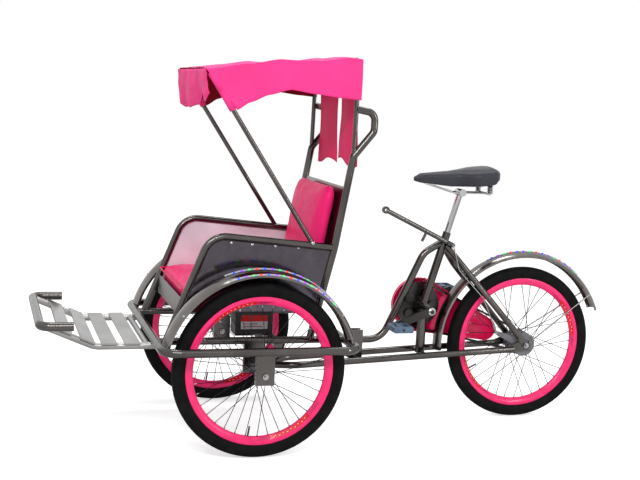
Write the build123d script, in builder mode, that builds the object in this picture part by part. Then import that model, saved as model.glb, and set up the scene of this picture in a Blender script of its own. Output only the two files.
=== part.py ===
from build123d import *
import math
import os

# A pedal rickshaw with the passenger in front. A two-wheeled carriage carries a seat, a
# footboard and a canopy. Behind it, a one-wheeled cycle frame with saddle, cranks and chain
# swings about an upright pivot under the seat, which steers the vehicle.
# Front is -X, the vehicle's left is -Y, the ground is Z = 0. All sizes are in millimetres.

# Wheels: 26 inch wire wheels with deep rims
FRONT_AXLE_X = -407.0
WHEELBASE = 1255.0
TRACK = 820.0
WHEEL_R = 330.0
TYRE_WIDTH = 50.0
RIM_R = 281.0
RIM_SEAT_R = 270.0
RIM_INNER_R = 251.0
RIM_WIDTH = 31.0
RIM_LIP = 2.5
RIM_NOSE = 13.0
BEAD_WIDTH = 20.0
CROWN_WIDTH = 24.0
SPOKES = 36
SPOKE_D = 2.4
SPOKE_CROSS_DEG = 60.0
SPOKE_FACES = 6
SPOKE_EDGE = 5.0
SPOKE_GAP = 0.5
SEAT_GAP = 0.3
AXLE_D = 12.0
BEARING_GAP = 0.05
FRONT_FLANGE_R = 27.0
FRONT_FLANGE_HALF = 33.0
FRONT_HUB_HALF = 48.0
REAR_FLANGE_R = 52.0
REAR_FLANGE_HALF = 27.0
REAR_HUB_HALF = 54.0
HUB_CORE_R = 17.0
FLANGE_THICK = 6.0

# Carriage base frame, level tubes round both front wheels
BASE_Z = 418.0
BASE_TUBE_D = 32.0
BASE_FRONT = 370.0
BASE_REAR = 362.0
OUTER_ROOM = 80.0
BASE_HALF = TRACK / 2 + OUTER_ROOM
BASE_CORNER_R = 60.0
BOW_STUB = 5.0
WHEEL_ROOM = 120.0
SEAT_HALF = TRACK / 2 - WHEEL_ROOM
HANGER_LENGTH = 70.0
HANGER_THICK = 22.0
HANGER_DROP = 34.0
RAIL_TUBE_D = 28.0
SPACER_D = 22.0
NUT_D = 22.0
AXLE_NUT = 8.0
AXLE_STUB = 10.0

# Steering pivot behind the front axle
PIVOT_BEHIND = 100.0
PIN_D = 28.0
HEAD_D = 46.0
HEAD_BOTTOM = 292.0
HEAD_RISE = 18.0
BEAM_Z = 400.0
BEAM_D = 36.0
TRAY_THICK = 3.0
RAIL_SINK = 3.0
YOKE_D = 54.0
YOKE_HEIGHT = 56.0
THRUST_GAP = 0.5
PIN_NUT_D = 40.0
PIN_NUT_HEIGHT = 12.0

# Seat box, arm rests and back posts
ARM_TUBE_D = 28.0
ARM_FOOT_AHEAD = 335.0
ARM_TOP_AHEAD = 178.0
ARM_TOP_Z = 820.0
ARM_REAR_Z = 776.0
ARM_BEND_R = 85.0
POST_D = 28.0
POST_FOOT_BEHIND = 222.0
POST_BEND_BEHIND = 305.0
POST_BEND_R = 300.0
POST_JOINT_BEHIND = 362.0
POST_JOINT_Z = 1128.0
HANDLE_REACH = 78.0
HANDLE_LOW = 98.0
HANDLE_HIGH = 168.0
HANDLE_END = 180.0
HANDLE_BEND_R = 34.0
SHEET = 2.0
PANEL_CUT = 50.0
PANEL_BOTTOM_Z = 530.0
SEAT_FRONT_AHEAD = 276.0
SEAT_PAN_Z = 540.0
SEAT_BAND_LOW = 500.0
SEAT_BAND_HIGH = 578.0
CUSHION_TOP_Z = 634.0
CUSHION_HALF = SEAT_HALF - 20.0
CUSHION_REAR_BEHIND = 225.0
CUSHION_ROUND = 18.0
BACK_THICK = 62.0
BACK_HALF = SEAT_HALF - 55.0
BACK_BOTTOM_Z = 640.0
BACK_TOP_Z = POST_JOINT_Z - 116.0
BACK_CORNER_R = 45.0
BOARD_LOW_Z = 700.0
BOARD_THICK = 8.0

# Footboard and front bumper
FOOT_HALF = SEAT_HALF - 28.0
FOOT_TUBE_D = 26.0
FOOT_CROSS_D = 23.0
FOOT_Z = 398.0
FOOT_BEND_AHEAD = 592.0
FOOT_TIP_AHEAD = 790.0
FOOT_TIP_Z = 482.0
FOOT_BEND_R = 90.0
SLAT_WIDTH = 57.0
SLAT_THICK = 3.0
SLAT_SINK = 3.0
SLAT_HALF = FOOT_HALF + 24.0
SLAT_PLACES = (-137.0, -52.0, 34.0, 124.0)
BUMPER_D = 34.0
BUMPER_HALF = SEAT_HALF + 15.0
BUMPER_RETURN = 118.0
BUMPER_BEND_R = 42.0
BUMPER_WALL = 3.0
BUMPER_BORE = 30.0

# Fenders
FENDER_R = 380.0
FENDER_WIDTH = 92.0
FENDER_CROWN = 13.0
FENDER_LIP = 9.0
FENDER_SHEET = 1.6
FRONT_FENDER_START = 13.0
FRONT_FENDER_END = 167.0
REAR_FENDER_R = 395.0
REAR_FENDER_WIDTH = 70.0
REAR_FENDER_START = 22.0
REAR_FENDER_END = 184.0
STAY_D = 6.0
STAY_ANGLE = 34.0

# Canopy
HOOP_D = 18.0
HOOP_FOOT_BEHIND = 220.0
HOOP_FOOT_Z = 786.0
HOOP_TOP_AHEAD = 205.0
HOOP_TOP_Z = 1424.0
HOOP_CORNER_R = 40.0
REAR_BOW_BEHIND = 366.0
REAR_BOW_Z = 1494.0
CANOPY_MID_BEHIND = 66.0
CANOPY_MID_Z = 1481.0
CLOTH = 3.0
VALANCE_FRONT_Z = 1286.0
VALANCE_ARCH_Z = 1368.0
VALANCE_ARCH_BEHIND = 105.0
VALANCE_REAR_Z = 1344.0
CURTAIN_Z = 1095.0
CURTAIN_HALF = SEAT_HALF - 25.0
CURTAIN_SLIT = 26.0
BOW_SOCKET = 30.0

# Cycle frame
RAIL_D = 28.0
RAIL_HALF = 70.0
RAIL_FRONT_HALF = 24.0
RAIL_FRONT_Z = 254.0
RAIL_SPREAD_BEHIND = 230.0
RAIL_CLIMB = 8.0
RAIL_END_GAP = 54.0
RAIL_END_Z = 312.0
RAIL_BEND_R = 120.0
TIE_D = 22.0
CHEEK_THICK = 5.0
CRANK_AHEAD = 455.0
CRANK_Z = 486.0
SHELL_D = 44.0
SHELL_HALF = 36.0
SEAT_TUBE_D = 34.0
SEAT_TUBE_TOP_Z = 806.0
SEAT_TUBE_LEAN = 0.285
LOWER_POST_D = 40.0
MAIN_TUBE_D = 30.0
MAIN_TUBE_Z = 350.0
MAIN_FRONT_AHEAD = 324.0
MAIN_BEND_AHEAD = 178.0
MAIN_UPPER_AHEAD = 10.0
MAIN_UPPER_Z = 716.0
MAIN_END_Z = 770.0
MAIN_BEND_R = 85.0
BRACKET_LENGTH = 58.0
BRACKET_TOP = 44.0
STAY_TUBE_D = 26.0
STAY_TOP_HALF = 24.0
STAY_TOP_Z = 752.0
STAY_BEND_PAST = 150.0
STAY_BEND_HALF = 58.0
STAY_BEND_Z = 668.0
STAY_LOW_AHEAD = 30.0
STAY_LOW_RISE = 36.0
STAY_LOW_HALF = 79.0
STAY_BEND_R = 110.0
LUG_THICK = 5.0
BRIDGE_D = 12.0
DROPOUT_THICK = 7.0
DROPOUT_R = 24.0
DROPOUT_ROOT_R = 11.0

# Saddle and post
SADDLE_POST_D = 26.0
POST_SOCKET = 60.0
CLAMP_D = 31.0
CLAMP_HALF = 10.0
SADDLE_Z = 1012.0
SADDLE_LENGTH = 345.0
SADDLE_HEIGHT = 72.0
SADDLE_PAST = 105.0
SADDLE_RAIL_D = 8.0
SADDLE_RAIL_NOSE = 43.0
SADDLE_CROSS_D = 11.0
SADDLE_RAIL_HALF = 20.0
SPRING_D = 30.0
SPRING_CORE_D = 16.0
SPRING_COILS = 5
SPRING_HEIGHT = 36.0
SPRING_HALF = 60.0

# Drive
CRANK_LENGTH = 165.0
CRANK_LEFT_DEG = 200.0
CRANK_INNER = 92.0
CRANK_THICK = 15.0
CRANK_WIDTH = 26.0
CRANK_EYE_D = 36.0
SPINDLE_D = 18.0
CHAINRING_R = 92.0
RING_TEETH = 48
CHAIN_Y = 43.0
CHAIN_HEIGHT = 9.0
CHAIN_WIDTH = 6.0
CHAIN_GAP = 0.5
RING_THICK = 3.0
RING_BOSS_D = 34.0
WINDOWS = 5
WINDOW_R = 58.0
WINDOW_D = 38.0
COG_R = 40.0
COG_TEETH = 22
GULLET_R = 4.6
GULLET_OUT = 1.4
GUARD_R = 116.0
GUARD_TAIL_R = 50.0
GUARD_TAIL_PAST = 320.0
GUARD_Y = 51.0
GUARD_DEPTH = 20.0
GUARD_SHEET = 2.0
GUARD_HOLE_D = 52.0
GUARD_BRACKETS = (75.0, 270.0)
BRACKET_D = 10.0
PEDAL_LENGTH = 84.0
PEDAL_WIDTH = 88.0
PEDAL_THICK = 26.0
PEDAL_GAP = 6.0
PEDAL_WALL = 10.0
PEDAL_BARREL_D = 24.0

# Brake
DRUM_R = 50.0
DRUM_PLATE = 6.0
LEVER_D = 20.0
LEVER_Y = -44.0
LEVER_TIP_AHEAD = 205.0
LEVER_TIP_Z = 900.0
LEVER_END_PAST = 105.0
LEVER_END_Z = 755.0
LEVER_RING_D = 30.0
LEVER_RING_HALF = 7.0
LEVER_HOLE_D = 12.0
LEVER_HEAD_D = 18.0
LEVER_HEAD = 4.0
PEG_D = 12.0
PEG_LENGTH = 45.0
PEG_SHARE = 0.6
ROD_D = 5.0
ROD_PIN_D = 6.0
ROD_EYE_D = 14.0
ROD_EYE_THICK = 5.0
ROD_SHARE = 0.985
ROD_BEND_R = 25.0
ROD_NUT_D = 11.0
ROD_NUT_LENGTH = 26.0
ARM_REACH = 135.0
ARM_RISE = 55.0
ARM_ROOT_D = 44.0

# Battery under the seat for the lights
BATTERY = (150.0, 88.0, 86.0)
BATTERY_Y = -150.0
BATTERY_ROUND = 5.0

REAR_AXLE_X = FRONT_AXLE_X + WHEELBASE
PIVOT_X = FRONT_AXLE_X + PIVOT_BEHIND
BASE_FRONT_X = FRONT_AXLE_X - BASE_FRONT
BASE_REAR_X = FRONT_AXLE_X + BASE_REAR
CRANK_X = REAR_AXLE_X - CRANK_AHEAD
LEFT, RIGHT = -1, 1
SIDES = {"left": LEFT, "right": RIGHT}
os.makedirs("parts", exist_ok=True)


def behind(distance):
    """The X of a place that far behind the front axle."""
    return FRONT_AXLE_X + distance


def past_crank(distance):
    """The X of a place that far behind the crank's axle, or ahead of it where negative."""
    return CRANK_X + distance


def side_plane(y):
    """An upright sketch plane along X whose sketches are drawn in X and Z and grow to -Y."""
    return Plane(origin=(0, y, 0), x_dir=(1, 0, 0), z_dir=(0, -1, 0))


def bar(points, diameter, bends=None):
    """Adds a round bar along points to the part being built, with one or more bend radii."""
    with BuildLine() as run:
        if bends is None:
            Polyline(*points)
        else:
            FilletPolyline(*points, radius=bends)
    with BuildSketch(Plane(origin=run.line @ 0, z_dir=run.line % 0)) as section:
        Circle(diameter / 2)
    sweep(sections=section.sketch, path=run.line)


def ring(centre, points):
    """Adds an outline, given as (across, radius) pairs, turned about a wheel's axis."""
    with BuildSketch(Plane(origin=centre, x_dir=(0, 1, 0), z_dir=(1, 0, 0))) as outline:
        with BuildLine():
            Polyline(*points, close=True)
        make_face()
    revolve(profiles=outline.sketch, axis=Axis(centre, (0, 1, 0)))


def across(centre, diameter, low, high, mode=Mode.ADD):
    """Adds or cuts a round bar along Y from low to high at the centre's X and Z."""
    with BuildSketch(Plane(origin=(centre.X, high, centre.Z), z_dir=(0, -1, 0))) as section:
        Circle(diameter / 2)
    extrude(section.sketch, amount=high - low, mode=mode)


def toothed(centre, tip_r, teeth):
    """Adds a sprocket on the chain's line, its gullets cut between rounded teeth."""
    across(centre, 2 * tip_r, CHAIN_Y - RING_THICK / 2, CHAIN_Y + RING_THICK / 2)
    plane = Plane(origin=(centre.X, CHAIN_Y + RING_THICK / 2, centre.Z), z_dir=(0, -1, 0))
    with BuildSketch(plane) as gullets:
        with PolarLocations(tip_r + GULLET_OUT, teeth):
            Circle(GULLET_R)
    extrude(gullets.sketch, amount=RING_THICK, mode=Mode.SUBTRACT)


def block(low, high, mode=Mode.ADD):
    """Adds or cuts a box between two corners."""
    size = [b - a for a, b in zip(low, high)]
    middle = Vector(*[(a + b) / 2 for a, b in zip(low, high)])
    with BuildSketch(Plane(origin=(middle.X, middle.Y, low[2]))) as section:
        Rectangle(size[0], size[1])
    extrude(section.sketch, amount=size[2], mode=mode)


def polar(centre, radius, degrees):
    """X and Z of a point round an axle; 0 degrees points to the rear and 90 up."""
    angle = math.radians(degrees)
    return centre.X + radius * math.cos(angle), centre.Z + radius * math.sin(angle)


def save(part, name):
    """Labels a finished piece and writes it as its own file."""
    part.label = name
    export_step(part, f"parts/{name}.step")


def tyre(centre):
    """A slick tyre whose tapered bead sits in its rim's channel."""
    wall = [
        (BEAD_WIDTH / 2, RIM_SEAT_R),
        (TYRE_WIDTH / 2, RIM_R + TYRE_WIDTH / 2),
        (CROWN_WIDTH / 2, WHEEL_R),
    ]
    with BuildPart() as made:
        ring(centre, wall + [(-u, v) for u, v in reversed(wall)])
    return made.part


def rim(centre):
    """A deep section rim, its channel flared to the slope of the tyre's bead."""
    half = RIM_WIDTH / 2
    slope = (TYRE_WIDTH - BEAD_WIDTH) / 2 / (RIM_R + TYRE_WIDTH / 2 - RIM_SEAT_R)
    side = [
        (BEAD_WIDTH / 2, RIM_SEAT_R),
        (BEAD_WIDTH / 2 + slope * (RIM_R - RIM_SEAT_R), RIM_R),
        (half, RIM_R),
        (half, RIM_SEAT_R - RIM_LIP),
        (RIM_NOSE / 2, RIM_INNER_R),
    ]
    with BuildPart() as made:
        ring(centre, side + [(-u, v) for u, v in reversed(side)])
    return made.part


def spoke_places(centre, flange_r, flange_half):
    """Where each spoke starts and which way it runs, with its length: crossed in pairs."""
    places = []
    for i in range(SPOKES):
        side = LEFT if i % 2 else RIGHT
        trailing = (i // 2) % 2
        at_rim = 360.0 * i / SPOKES
        at_hub = at_rim + (SPOKE_CROSS_DEG if trailing else -SPOKE_CROSS_DEG)
        level = flange_half + (FLANGE_THICK - SPOKE_D) / 2 * (1 if trailing else -1)
        x0, z0 = polar(centre, flange_r - SPOKE_EDGE, at_hub)
        x1, z1 = polar(centre, RIM_INNER_R - SPOKE_GAP, at_rim)
        start = Vector(x0, centre.Y + side * level, z0)
        end = Vector(x1, centre.Y + side * SPOKE_D, z1)
        places.append((Plane(origin=start, z_dir=end - start), (end - start).length))
    return places


def spoked_hub(centre, flange_r, flange_half, hub_half, driven):
    """A flanged hub bored for its axle, with its spokes and, on the driven wheel, its cog."""
    bore = AXLE_D / 2 + BEARING_GAP
    inner = flange_half - FLANGE_THICK / 2
    outer = flange_half + FLANGE_THICK / 2
    half = [
        (inner, HUB_CORE_R),
        (inner, flange_r),
        (outer, flange_r),
        (outer, HUB_CORE_R),
        (hub_half, HUB_CORE_R),
        (hub_half, bore),
    ]
    with BuildPart() as made:
        ring(centre, half + [(-u, v) for u, v in reversed(half)])
        if driven:
            toothed(centre, COG_R, COG_TEETH)
            across(centre, 2 * bore, -hub_half, hub_half, mode=Mode.SUBTRACT)
        for plane, length in spoke_places(centre, flange_r, flange_half):
            with BuildSketch(plane):
                RegularPolygon(SPOKE_D / 2, SPOKE_FACES)
            extrude(amount=length)
    return made.part


def fender_shell(centre, radius, width, start, end):
    """Adds a crowned sheet with turned-down edges, swept round a wheel between two angles."""
    half = width / 2
    shoulder = radius - FENDER_CROWN
    edge = shoulder - FENDER_LIP
    inner = half - FENDER_SHEET
    first = Vector(0, 0, 1).rotate(Axis.Y, 90 - start)
    plane = Plane(origin=centre, x_dir=(0, 1, 0), z_dir=Vector(0, 1, 0).cross(first))
    with BuildSketch(plane) as section:
        with BuildLine():
            Line((-half, edge), (-half, shoulder))
            ThreePointArc((-half, shoulder), (0, radius), (half, shoulder))
            Line((half, shoulder), (half, edge))
            Line((half, edge), (inner, edge))
            Line((inner, edge), (inner, shoulder - FENDER_SHEET))
            ThreePointArc(
                (inner, shoulder - FENDER_SHEET),
                (0, radius - FENDER_SHEET),
                (-inner, shoulder - FENDER_SHEET),
            )
            Line((-inner, shoulder - FENDER_SHEET), (-inner, edge))
            Line((-inner, edge), (-half, edge))
        make_face()
    revolve(profiles=section.sketch, axis=Axis(centre, (0, -1, 0)), revolution_arc=end - start)


# Outer loop of the carriage's base round both front wheels: a bow ahead and one behind
rail_front_x = BASE_FRONT_X + BASE_CORNER_R + BOW_STUB
rail_rear_x = BASE_REAR_X - BASE_CORNER_R - BOW_STUB
with BuildPart() as base_bows:
    for rail_x, end_x in ((rail_front_x, BASE_FRONT_X), (rail_rear_x, BASE_REAR_X)):
        bar(
            [
                (rail_x, -BASE_HALF, BASE_Z),
                (end_x, -BASE_HALF, BASE_Z),
                (end_x, BASE_HALF, BASE_Z),
                (rail_x, BASE_HALF, BASE_Z),
            ],
            BASE_TUBE_D,
            BASE_CORNER_R,
        )
save(base_bows.part, "base_bows")

# Side rails welded between the bows' ends, each with the hanger of its wheel's axle
with BuildPart() as base_rails:
    for side in SIDES.values():
        rail_y = side * BASE_HALF
        bar([(rail_front_x, rail_y, BASE_Z), (rail_rear_x, rail_y, BASE_Z)], BASE_TUBE_D)
        block(
            (FRONT_AXLE_X - HANGER_LENGTH / 2, rail_y - HANGER_THICK / 2, WHEEL_R - HANGER_DROP),
            (FRONT_AXLE_X + HANGER_LENGTH / 2, rail_y + HANGER_THICK / 2, BASE_Z),
        )
    hub_line = Vector(FRONT_AXLE_X, 0, WHEEL_R)
    across(hub_line, AXLE_D, -2 * BASE_HALF, 2 * BASE_HALF, mode=Mode.SUBTRACT)
save(base_rails.part, "base_rails")

# Seat frame: two rails with inner axle hangers, the pivot's cross beam and the head tube
HEAD_TOP = BEAM_Z + BEAM_D / 2 + HEAD_RISE
with BuildPart() as seat_frame:
    for side in SIDES.values():
        y = side * SEAT_HALF
        bar([(BASE_FRONT_X, y, BASE_Z), (BASE_REAR_X, y, BASE_Z)], RAIL_TUBE_D)
        block(
            (FRONT_AXLE_X - HANGER_LENGTH / 2, y - HANGER_THICK / 2, WHEEL_R - HANGER_DROP),
            (FRONT_AXLE_X + HANGER_LENGTH / 2, y + HANGER_THICK / 2, BASE_Z),
        )
    across(hub_line, AXLE_D, -SEAT_HALF - HANGER_THICK, SEAT_HALF + HANGER_THICK, mode=Mode.SUBTRACT)
    across(Vector(PIVOT_X, 0, BEAM_Z), BEAM_D, -SEAT_HALF, SEAT_HALF)
    with BuildSketch(Plane.XY.offset(HEAD_BOTTOM)):
        with Locations((PIVOT_X, 0)):
            Circle(HEAD_D / 2)
    extrude(amount=HEAD_TOP - HEAD_BOTTOM)
    with BuildSketch(Plane.XY.offset(HEAD_BOTTOM)):
        with Locations((PIVOT_X, 0)):
            Circle(PIN_D / 2 + BEARING_GAP)
    extrude(amount=HEAD_TOP - HEAD_BOTTOM, mode=Mode.SUBTRACT)
    tray_top = BEAM_Z + BEAM_D / 2 + TRAY_THICK
    block(
        (PIVOT_X - BATTERY[0], BATTERY_Y - BATTERY[1] / 2, tray_top - TRAY_THICK - RAIL_SINK),
        (PIVOT_X, BATTERY_Y + BATTERY[1] / 2, tray_top),
    )
    add(base_bows.part, mode=Mode.SUBTRACT)
save(seat_frame.part, "seat_frame")

# Front axles, each held in an outer and an inner hanger, with spacers and end nuts
for name, side in SIDES.items():
    hub = Vector(FRONT_AXLE_X, side * TRACK / 2, WHEEL_R)
    inside, outside = SEAT_HALF - HANGER_THICK / 2, BASE_HALF + HANGER_THICK / 2
    spans = [
        (AXLE_D, inside - AXLE_NUT - AXLE_STUB, outside + AXLE_NUT + AXLE_STUB),
        (SPACER_D, inside + HANGER_THICK, TRACK / 2 - FRONT_HUB_HALF - SEAT_GAP),
        (SPACER_D, TRACK / 2 + FRONT_HUB_HALF + SEAT_GAP, outside - HANGER_THICK),
        (NUT_D, inside - AXLE_NUT, inside),
        (NUT_D, outside, outside + AXLE_NUT),
    ]
    with BuildPart() as front_axle:
        for diameter, near, far in spans:
            low, high = sorted((side * near, side * far))
            across(hub, diameter, low, high)
    save(front_axle.part, f"{name}_front_axle")

# Front bumper, a fat tube whose ends turn back beside the footboard
BUMPER_X = behind(-FOOT_TIP_AHEAD)
with BuildPart() as front_bumper:
    bar(
        [
            (BUMPER_X + BUMPER_RETURN, -BUMPER_HALF, FOOT_TIP_Z),
            (BUMPER_X, -BUMPER_HALF, FOOT_TIP_Z),
            (BUMPER_X, BUMPER_HALF, FOOT_TIP_Z),
            (BUMPER_X + BUMPER_RETURN, BUMPER_HALF, FOOT_TIP_Z),
        ],
        BUMPER_D,
        BUMPER_BEND_R,
    )
    for side in SIDES.values():
        end = Plane(
            origin=(BUMPER_X + BUMPER_RETURN, side * BUMPER_HALF, FOOT_TIP_Z),
            z_dir=(-1, 0, 0),
        )
        with BuildSketch(end):
            Circle(BUMPER_D / 2 - BUMPER_WALL)
        extrude(amount=BUMPER_BORE, mode=Mode.SUBTRACT)
save(front_bumper.part, "front_bumper")

# Footboard: two side rails bent up at the front, a rear cross tube and four flat slats
foot_rise = math.atan2(FOOT_TIP_Z - FOOT_Z, FOOT_TIP_AHEAD - FOOT_BEND_AHEAD)
with BuildPart() as footboard:
    for side in SIDES.values():
        y = side * FOOT_HALF
        bar(
            [
                (BASE_FRONT_X, y, FOOT_Z),
                (behind(-FOOT_BEND_AHEAD), y, FOOT_Z),
                (BUMPER_X, y, FOOT_TIP_Z),
            ],
            FOOT_TUBE_D,
            FOOT_BEND_R,
        )
    cross_x = BASE_FRONT_X - (BASE_TUBE_D + FOOT_CROSS_D) / 2
    across(Vector(cross_x, 0, FOOT_Z), FOOT_CROSS_D, -FOOT_HALF, FOOT_HALF)
    for along in SLAT_PLACES:
        tilt = foot_rise if along > 0 else 0
        middle = (
            behind(-FOOT_BEND_AHEAD) - along * math.cos(tilt),
            0,
            FOOT_Z + along * math.sin(tilt),
        )
        forward = (-math.cos(tilt), 0, math.sin(tilt))
        level = Plane(origin=middle, x_dir=forward, z_dir=(math.sin(tilt), 0, math.cos(tilt)))
        with BuildSketch(level.offset(FOOT_TUBE_D / 2 - SLAT_SINK)):
            Rectangle(SLAT_WIDTH, 2 * SLAT_HALF)
        extrude(amount=SLAT_THICK + SLAT_SINK)
    add(base_bows.part, mode=Mode.SUBTRACT)
    add(front_bumper.part, mode=Mode.SUBTRACT)
save(footboard.part, "footboard")

# Rear bow of the canopy, with its two thin posts
with BuildPart() as rear_bow:
    bar(
        [
            (behind(POST_JOINT_BEHIND), -SEAT_HALF, POST_JOINT_Z - BOW_SOCKET),
            (behind(REAR_BOW_BEHIND), -SEAT_HALF, REAR_BOW_Z),
            (behind(REAR_BOW_BEHIND), SEAT_HALF, REAR_BOW_Z),
            (behind(POST_JOINT_BEHIND), SEAT_HALF, POST_JOINT_Z - BOW_SOCKET),
        ],
        HOOP_D,
        HOOP_CORNER_R,
    )
save(rear_bow.part, "rear_bow")

# Back posts: from the seat rails up behind the seat, ending in the push handles
back_posts = {}
for name, side in SIDES.items():
    y = side * SEAT_HALF
    with BuildPart() as back_post:
        bar(
            [
                (behind(POST_FOOT_BEHIND), y, BASE_Z),
                (behind(POST_BEND_BEHIND), y, ARM_REAR_Z),
                (behind(POST_JOINT_BEHIND), y, POST_JOINT_Z),
                (behind(POST_JOINT_BEHIND + HANDLE_REACH), y, POST_JOINT_Z + HANDLE_LOW),
                (behind(POST_JOINT_BEHIND + HANDLE_REACH), y, POST_JOINT_Z + HANDLE_HIGH),
                (behind(REAR_BOW_BEHIND), y, POST_JOINT_Z + HANDLE_END),
            ],
            POST_D,
            [POST_BEND_R, HANDLE_BEND_R, HANDLE_BEND_R, HANDLE_BEND_R],
        )
        add(seat_frame.part, mode=Mode.SUBTRACT)
        add(rear_bow.part, mode=Mode.SUBTRACT)
    save(back_post.part, f"{name}_back_post")
    back_posts[side] = back_post

# Seat sides: an arm rest tube bent round a stainless panel
side_frames = {}
for name, side in SIDES.items():
    y = side * SEAT_HALF
    foot = (behind(-ARM_FOOT_AHEAD), y, BASE_Z)
    top = (behind(-ARM_TOP_AHEAD), y, ARM_TOP_Z)
    back = (behind(POST_BEND_BEHIND), y, ARM_REAR_Z)
    slope = (ARM_FOOT_AHEAD - ARM_TOP_AHEAD) / (ARM_TOP_Z - BASE_Z)
    low_front = ARM_FOOT_AHEAD - slope * (PANEL_BOTTOM_Z - BASE_Z)
    post_slope = (POST_BEND_BEHIND - POST_FOOT_BEHIND) / (ARM_REAR_Z - BASE_Z)
    low_back = POST_FOOT_BEHIND + post_slope * (PANEL_BOTTOM_Z - BASE_Z)
    with BuildPart() as side_frame:
        bar([foot, top, back], ARM_TUBE_D, ARM_BEND_R)
        with BuildSketch(side_plane(y + SHEET / 2)):
            with BuildLine():
                panel = [
                    (behind(-low_front), PANEL_BOTTOM_Z),
                    (behind(-ARM_TOP_AHEAD - PANEL_CUT * slope), ARM_TOP_Z - PANEL_CUT),
                    (behind(-ARM_TOP_AHEAD + PANEL_CUT), ARM_TOP_Z - ARM_TUBE_D / 4),
                    (behind(POST_BEND_BEHIND), ARM_REAR_Z),
                    (behind(low_back), PANEL_BOTTOM_Z),
                ]
                Polyline(*panel, close=True)
            make_face()
        extrude(amount=SHEET)
        add(seat_frame.part, mode=Mode.SUBTRACT)
        add(back_posts[side].part, mode=Mode.SUBTRACT)
    save(side_frame.part, f"{name}_seat_side")
    side_frames[side] = side_frame

# Seat pan between the panels, with a front band that hides the cushion's lower edge
PAN_HALF = SEAT_HALF - SHEET / 2
with BuildPart() as seat_pan:
    block(
        (behind(-SEAT_FRONT_AHEAD), -PAN_HALF, SEAT_PAN_Z - BOARD_THICK),
        (behind(CUSHION_REAR_BEHIND), PAN_HALF, SEAT_PAN_Z),
    )
    block(
        (behind(-SEAT_FRONT_AHEAD) - SHEET, -PAN_HALF, SEAT_BAND_LOW),
        (behind(-SEAT_FRONT_AHEAD), PAN_HALF, SEAT_BAND_HIGH),
    )
    for side_frame in side_frames.values():
        add(side_frame.part, mode=Mode.SUBTRACT)
save(seat_pan.part, "seat_pan")

# Seat cushion
with BuildPart() as seat_cushion:
    block(
        (behind(-SEAT_FRONT_AHEAD) + SEAT_GAP, -CUSHION_HALF, SEAT_PAN_Z + SEAT_GAP),
        (behind(CUSHION_REAR_BEHIND), CUSHION_HALF, CUSHION_TOP_Z),
    )
    fillet(seat_cushion.edges().group_by(Axis.Z)[-1], CUSHION_ROUND)
save(seat_cushion.part, "seat_cushion")

# Back board between the posts, and the back cushion on it, both leaning with the posts
post_lean = math.atan2(POST_JOINT_BEHIND - POST_BEND_BEHIND, POST_JOINT_Z - ARM_REAR_Z)
up_post = Vector(math.sin(post_lean), 0, math.cos(post_lean))
lean_plane = Plane(
    origin=(behind(POST_BEND_BEHIND), 0, ARM_REAR_Z),
    x_dir=(0, 1, 0),
    z_dir=Vector(0, 1, 0).cross(up_post),
)
board_low = BOARD_LOW_Z - ARM_REAR_Z
board_high = BACK_TOP_Z - ARM_REAR_Z
with BuildPart() as back_board:
    with BuildSketch(lean_plane.offset(-BOARD_THICK / 2)):
        with Locations((0, (board_low + board_high) / 2)):
            Rectangle(2 * SEAT_HALF, board_high - board_low)
    extrude(amount=BOARD_THICK)
    for neighbour in (*back_posts.values(), *side_frames.values()):
        add(neighbour.part, mode=Mode.SUBTRACT)
save(back_board.part, "back_board")

# Back cushion
with BuildPart() as back_cushion:
    with BuildSketch(lean_plane.offset(-BOARD_THICK / 2 - SEAT_GAP - BACK_THICK)):
        with Locations((0, (BACK_BOTTOM_Z + BACK_TOP_Z) / 2 - ARM_REAR_Z)):
            RectangleRounded(2 * BACK_HALF, BACK_TOP_Z - BACK_BOTTOM_Z, BACK_CORNER_R)
    extrude(amount=BACK_THICK)
    fillet(back_cushion.faces().sort_by(Axis.X)[0].edges(), CUSHION_ROUND)
save(back_cushion.part, "back_cushion")

# Front hoop of the canopy, bolted down on the arm rests
with BuildPart() as canopy_hoop:
    bar(
        [
            (behind(HOOP_FOOT_BEHIND), -SEAT_HALF, HOOP_FOOT_Z),
            (behind(-HOOP_TOP_AHEAD), -SEAT_HALF, HOOP_TOP_Z),
            (behind(-HOOP_TOP_AHEAD), SEAT_HALF, HOOP_TOP_Z),
            (behind(HOOP_FOOT_BEHIND), SEAT_HALF, HOOP_FOOT_Z),
        ],
        HOOP_D,
        HOOP_CORNER_R,
    )
    for side_frame in side_frames.values():
        add(side_frame.part, mode=Mode.SUBTRACT)
save(canopy_hoop.part, "canopy_hoop")

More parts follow.
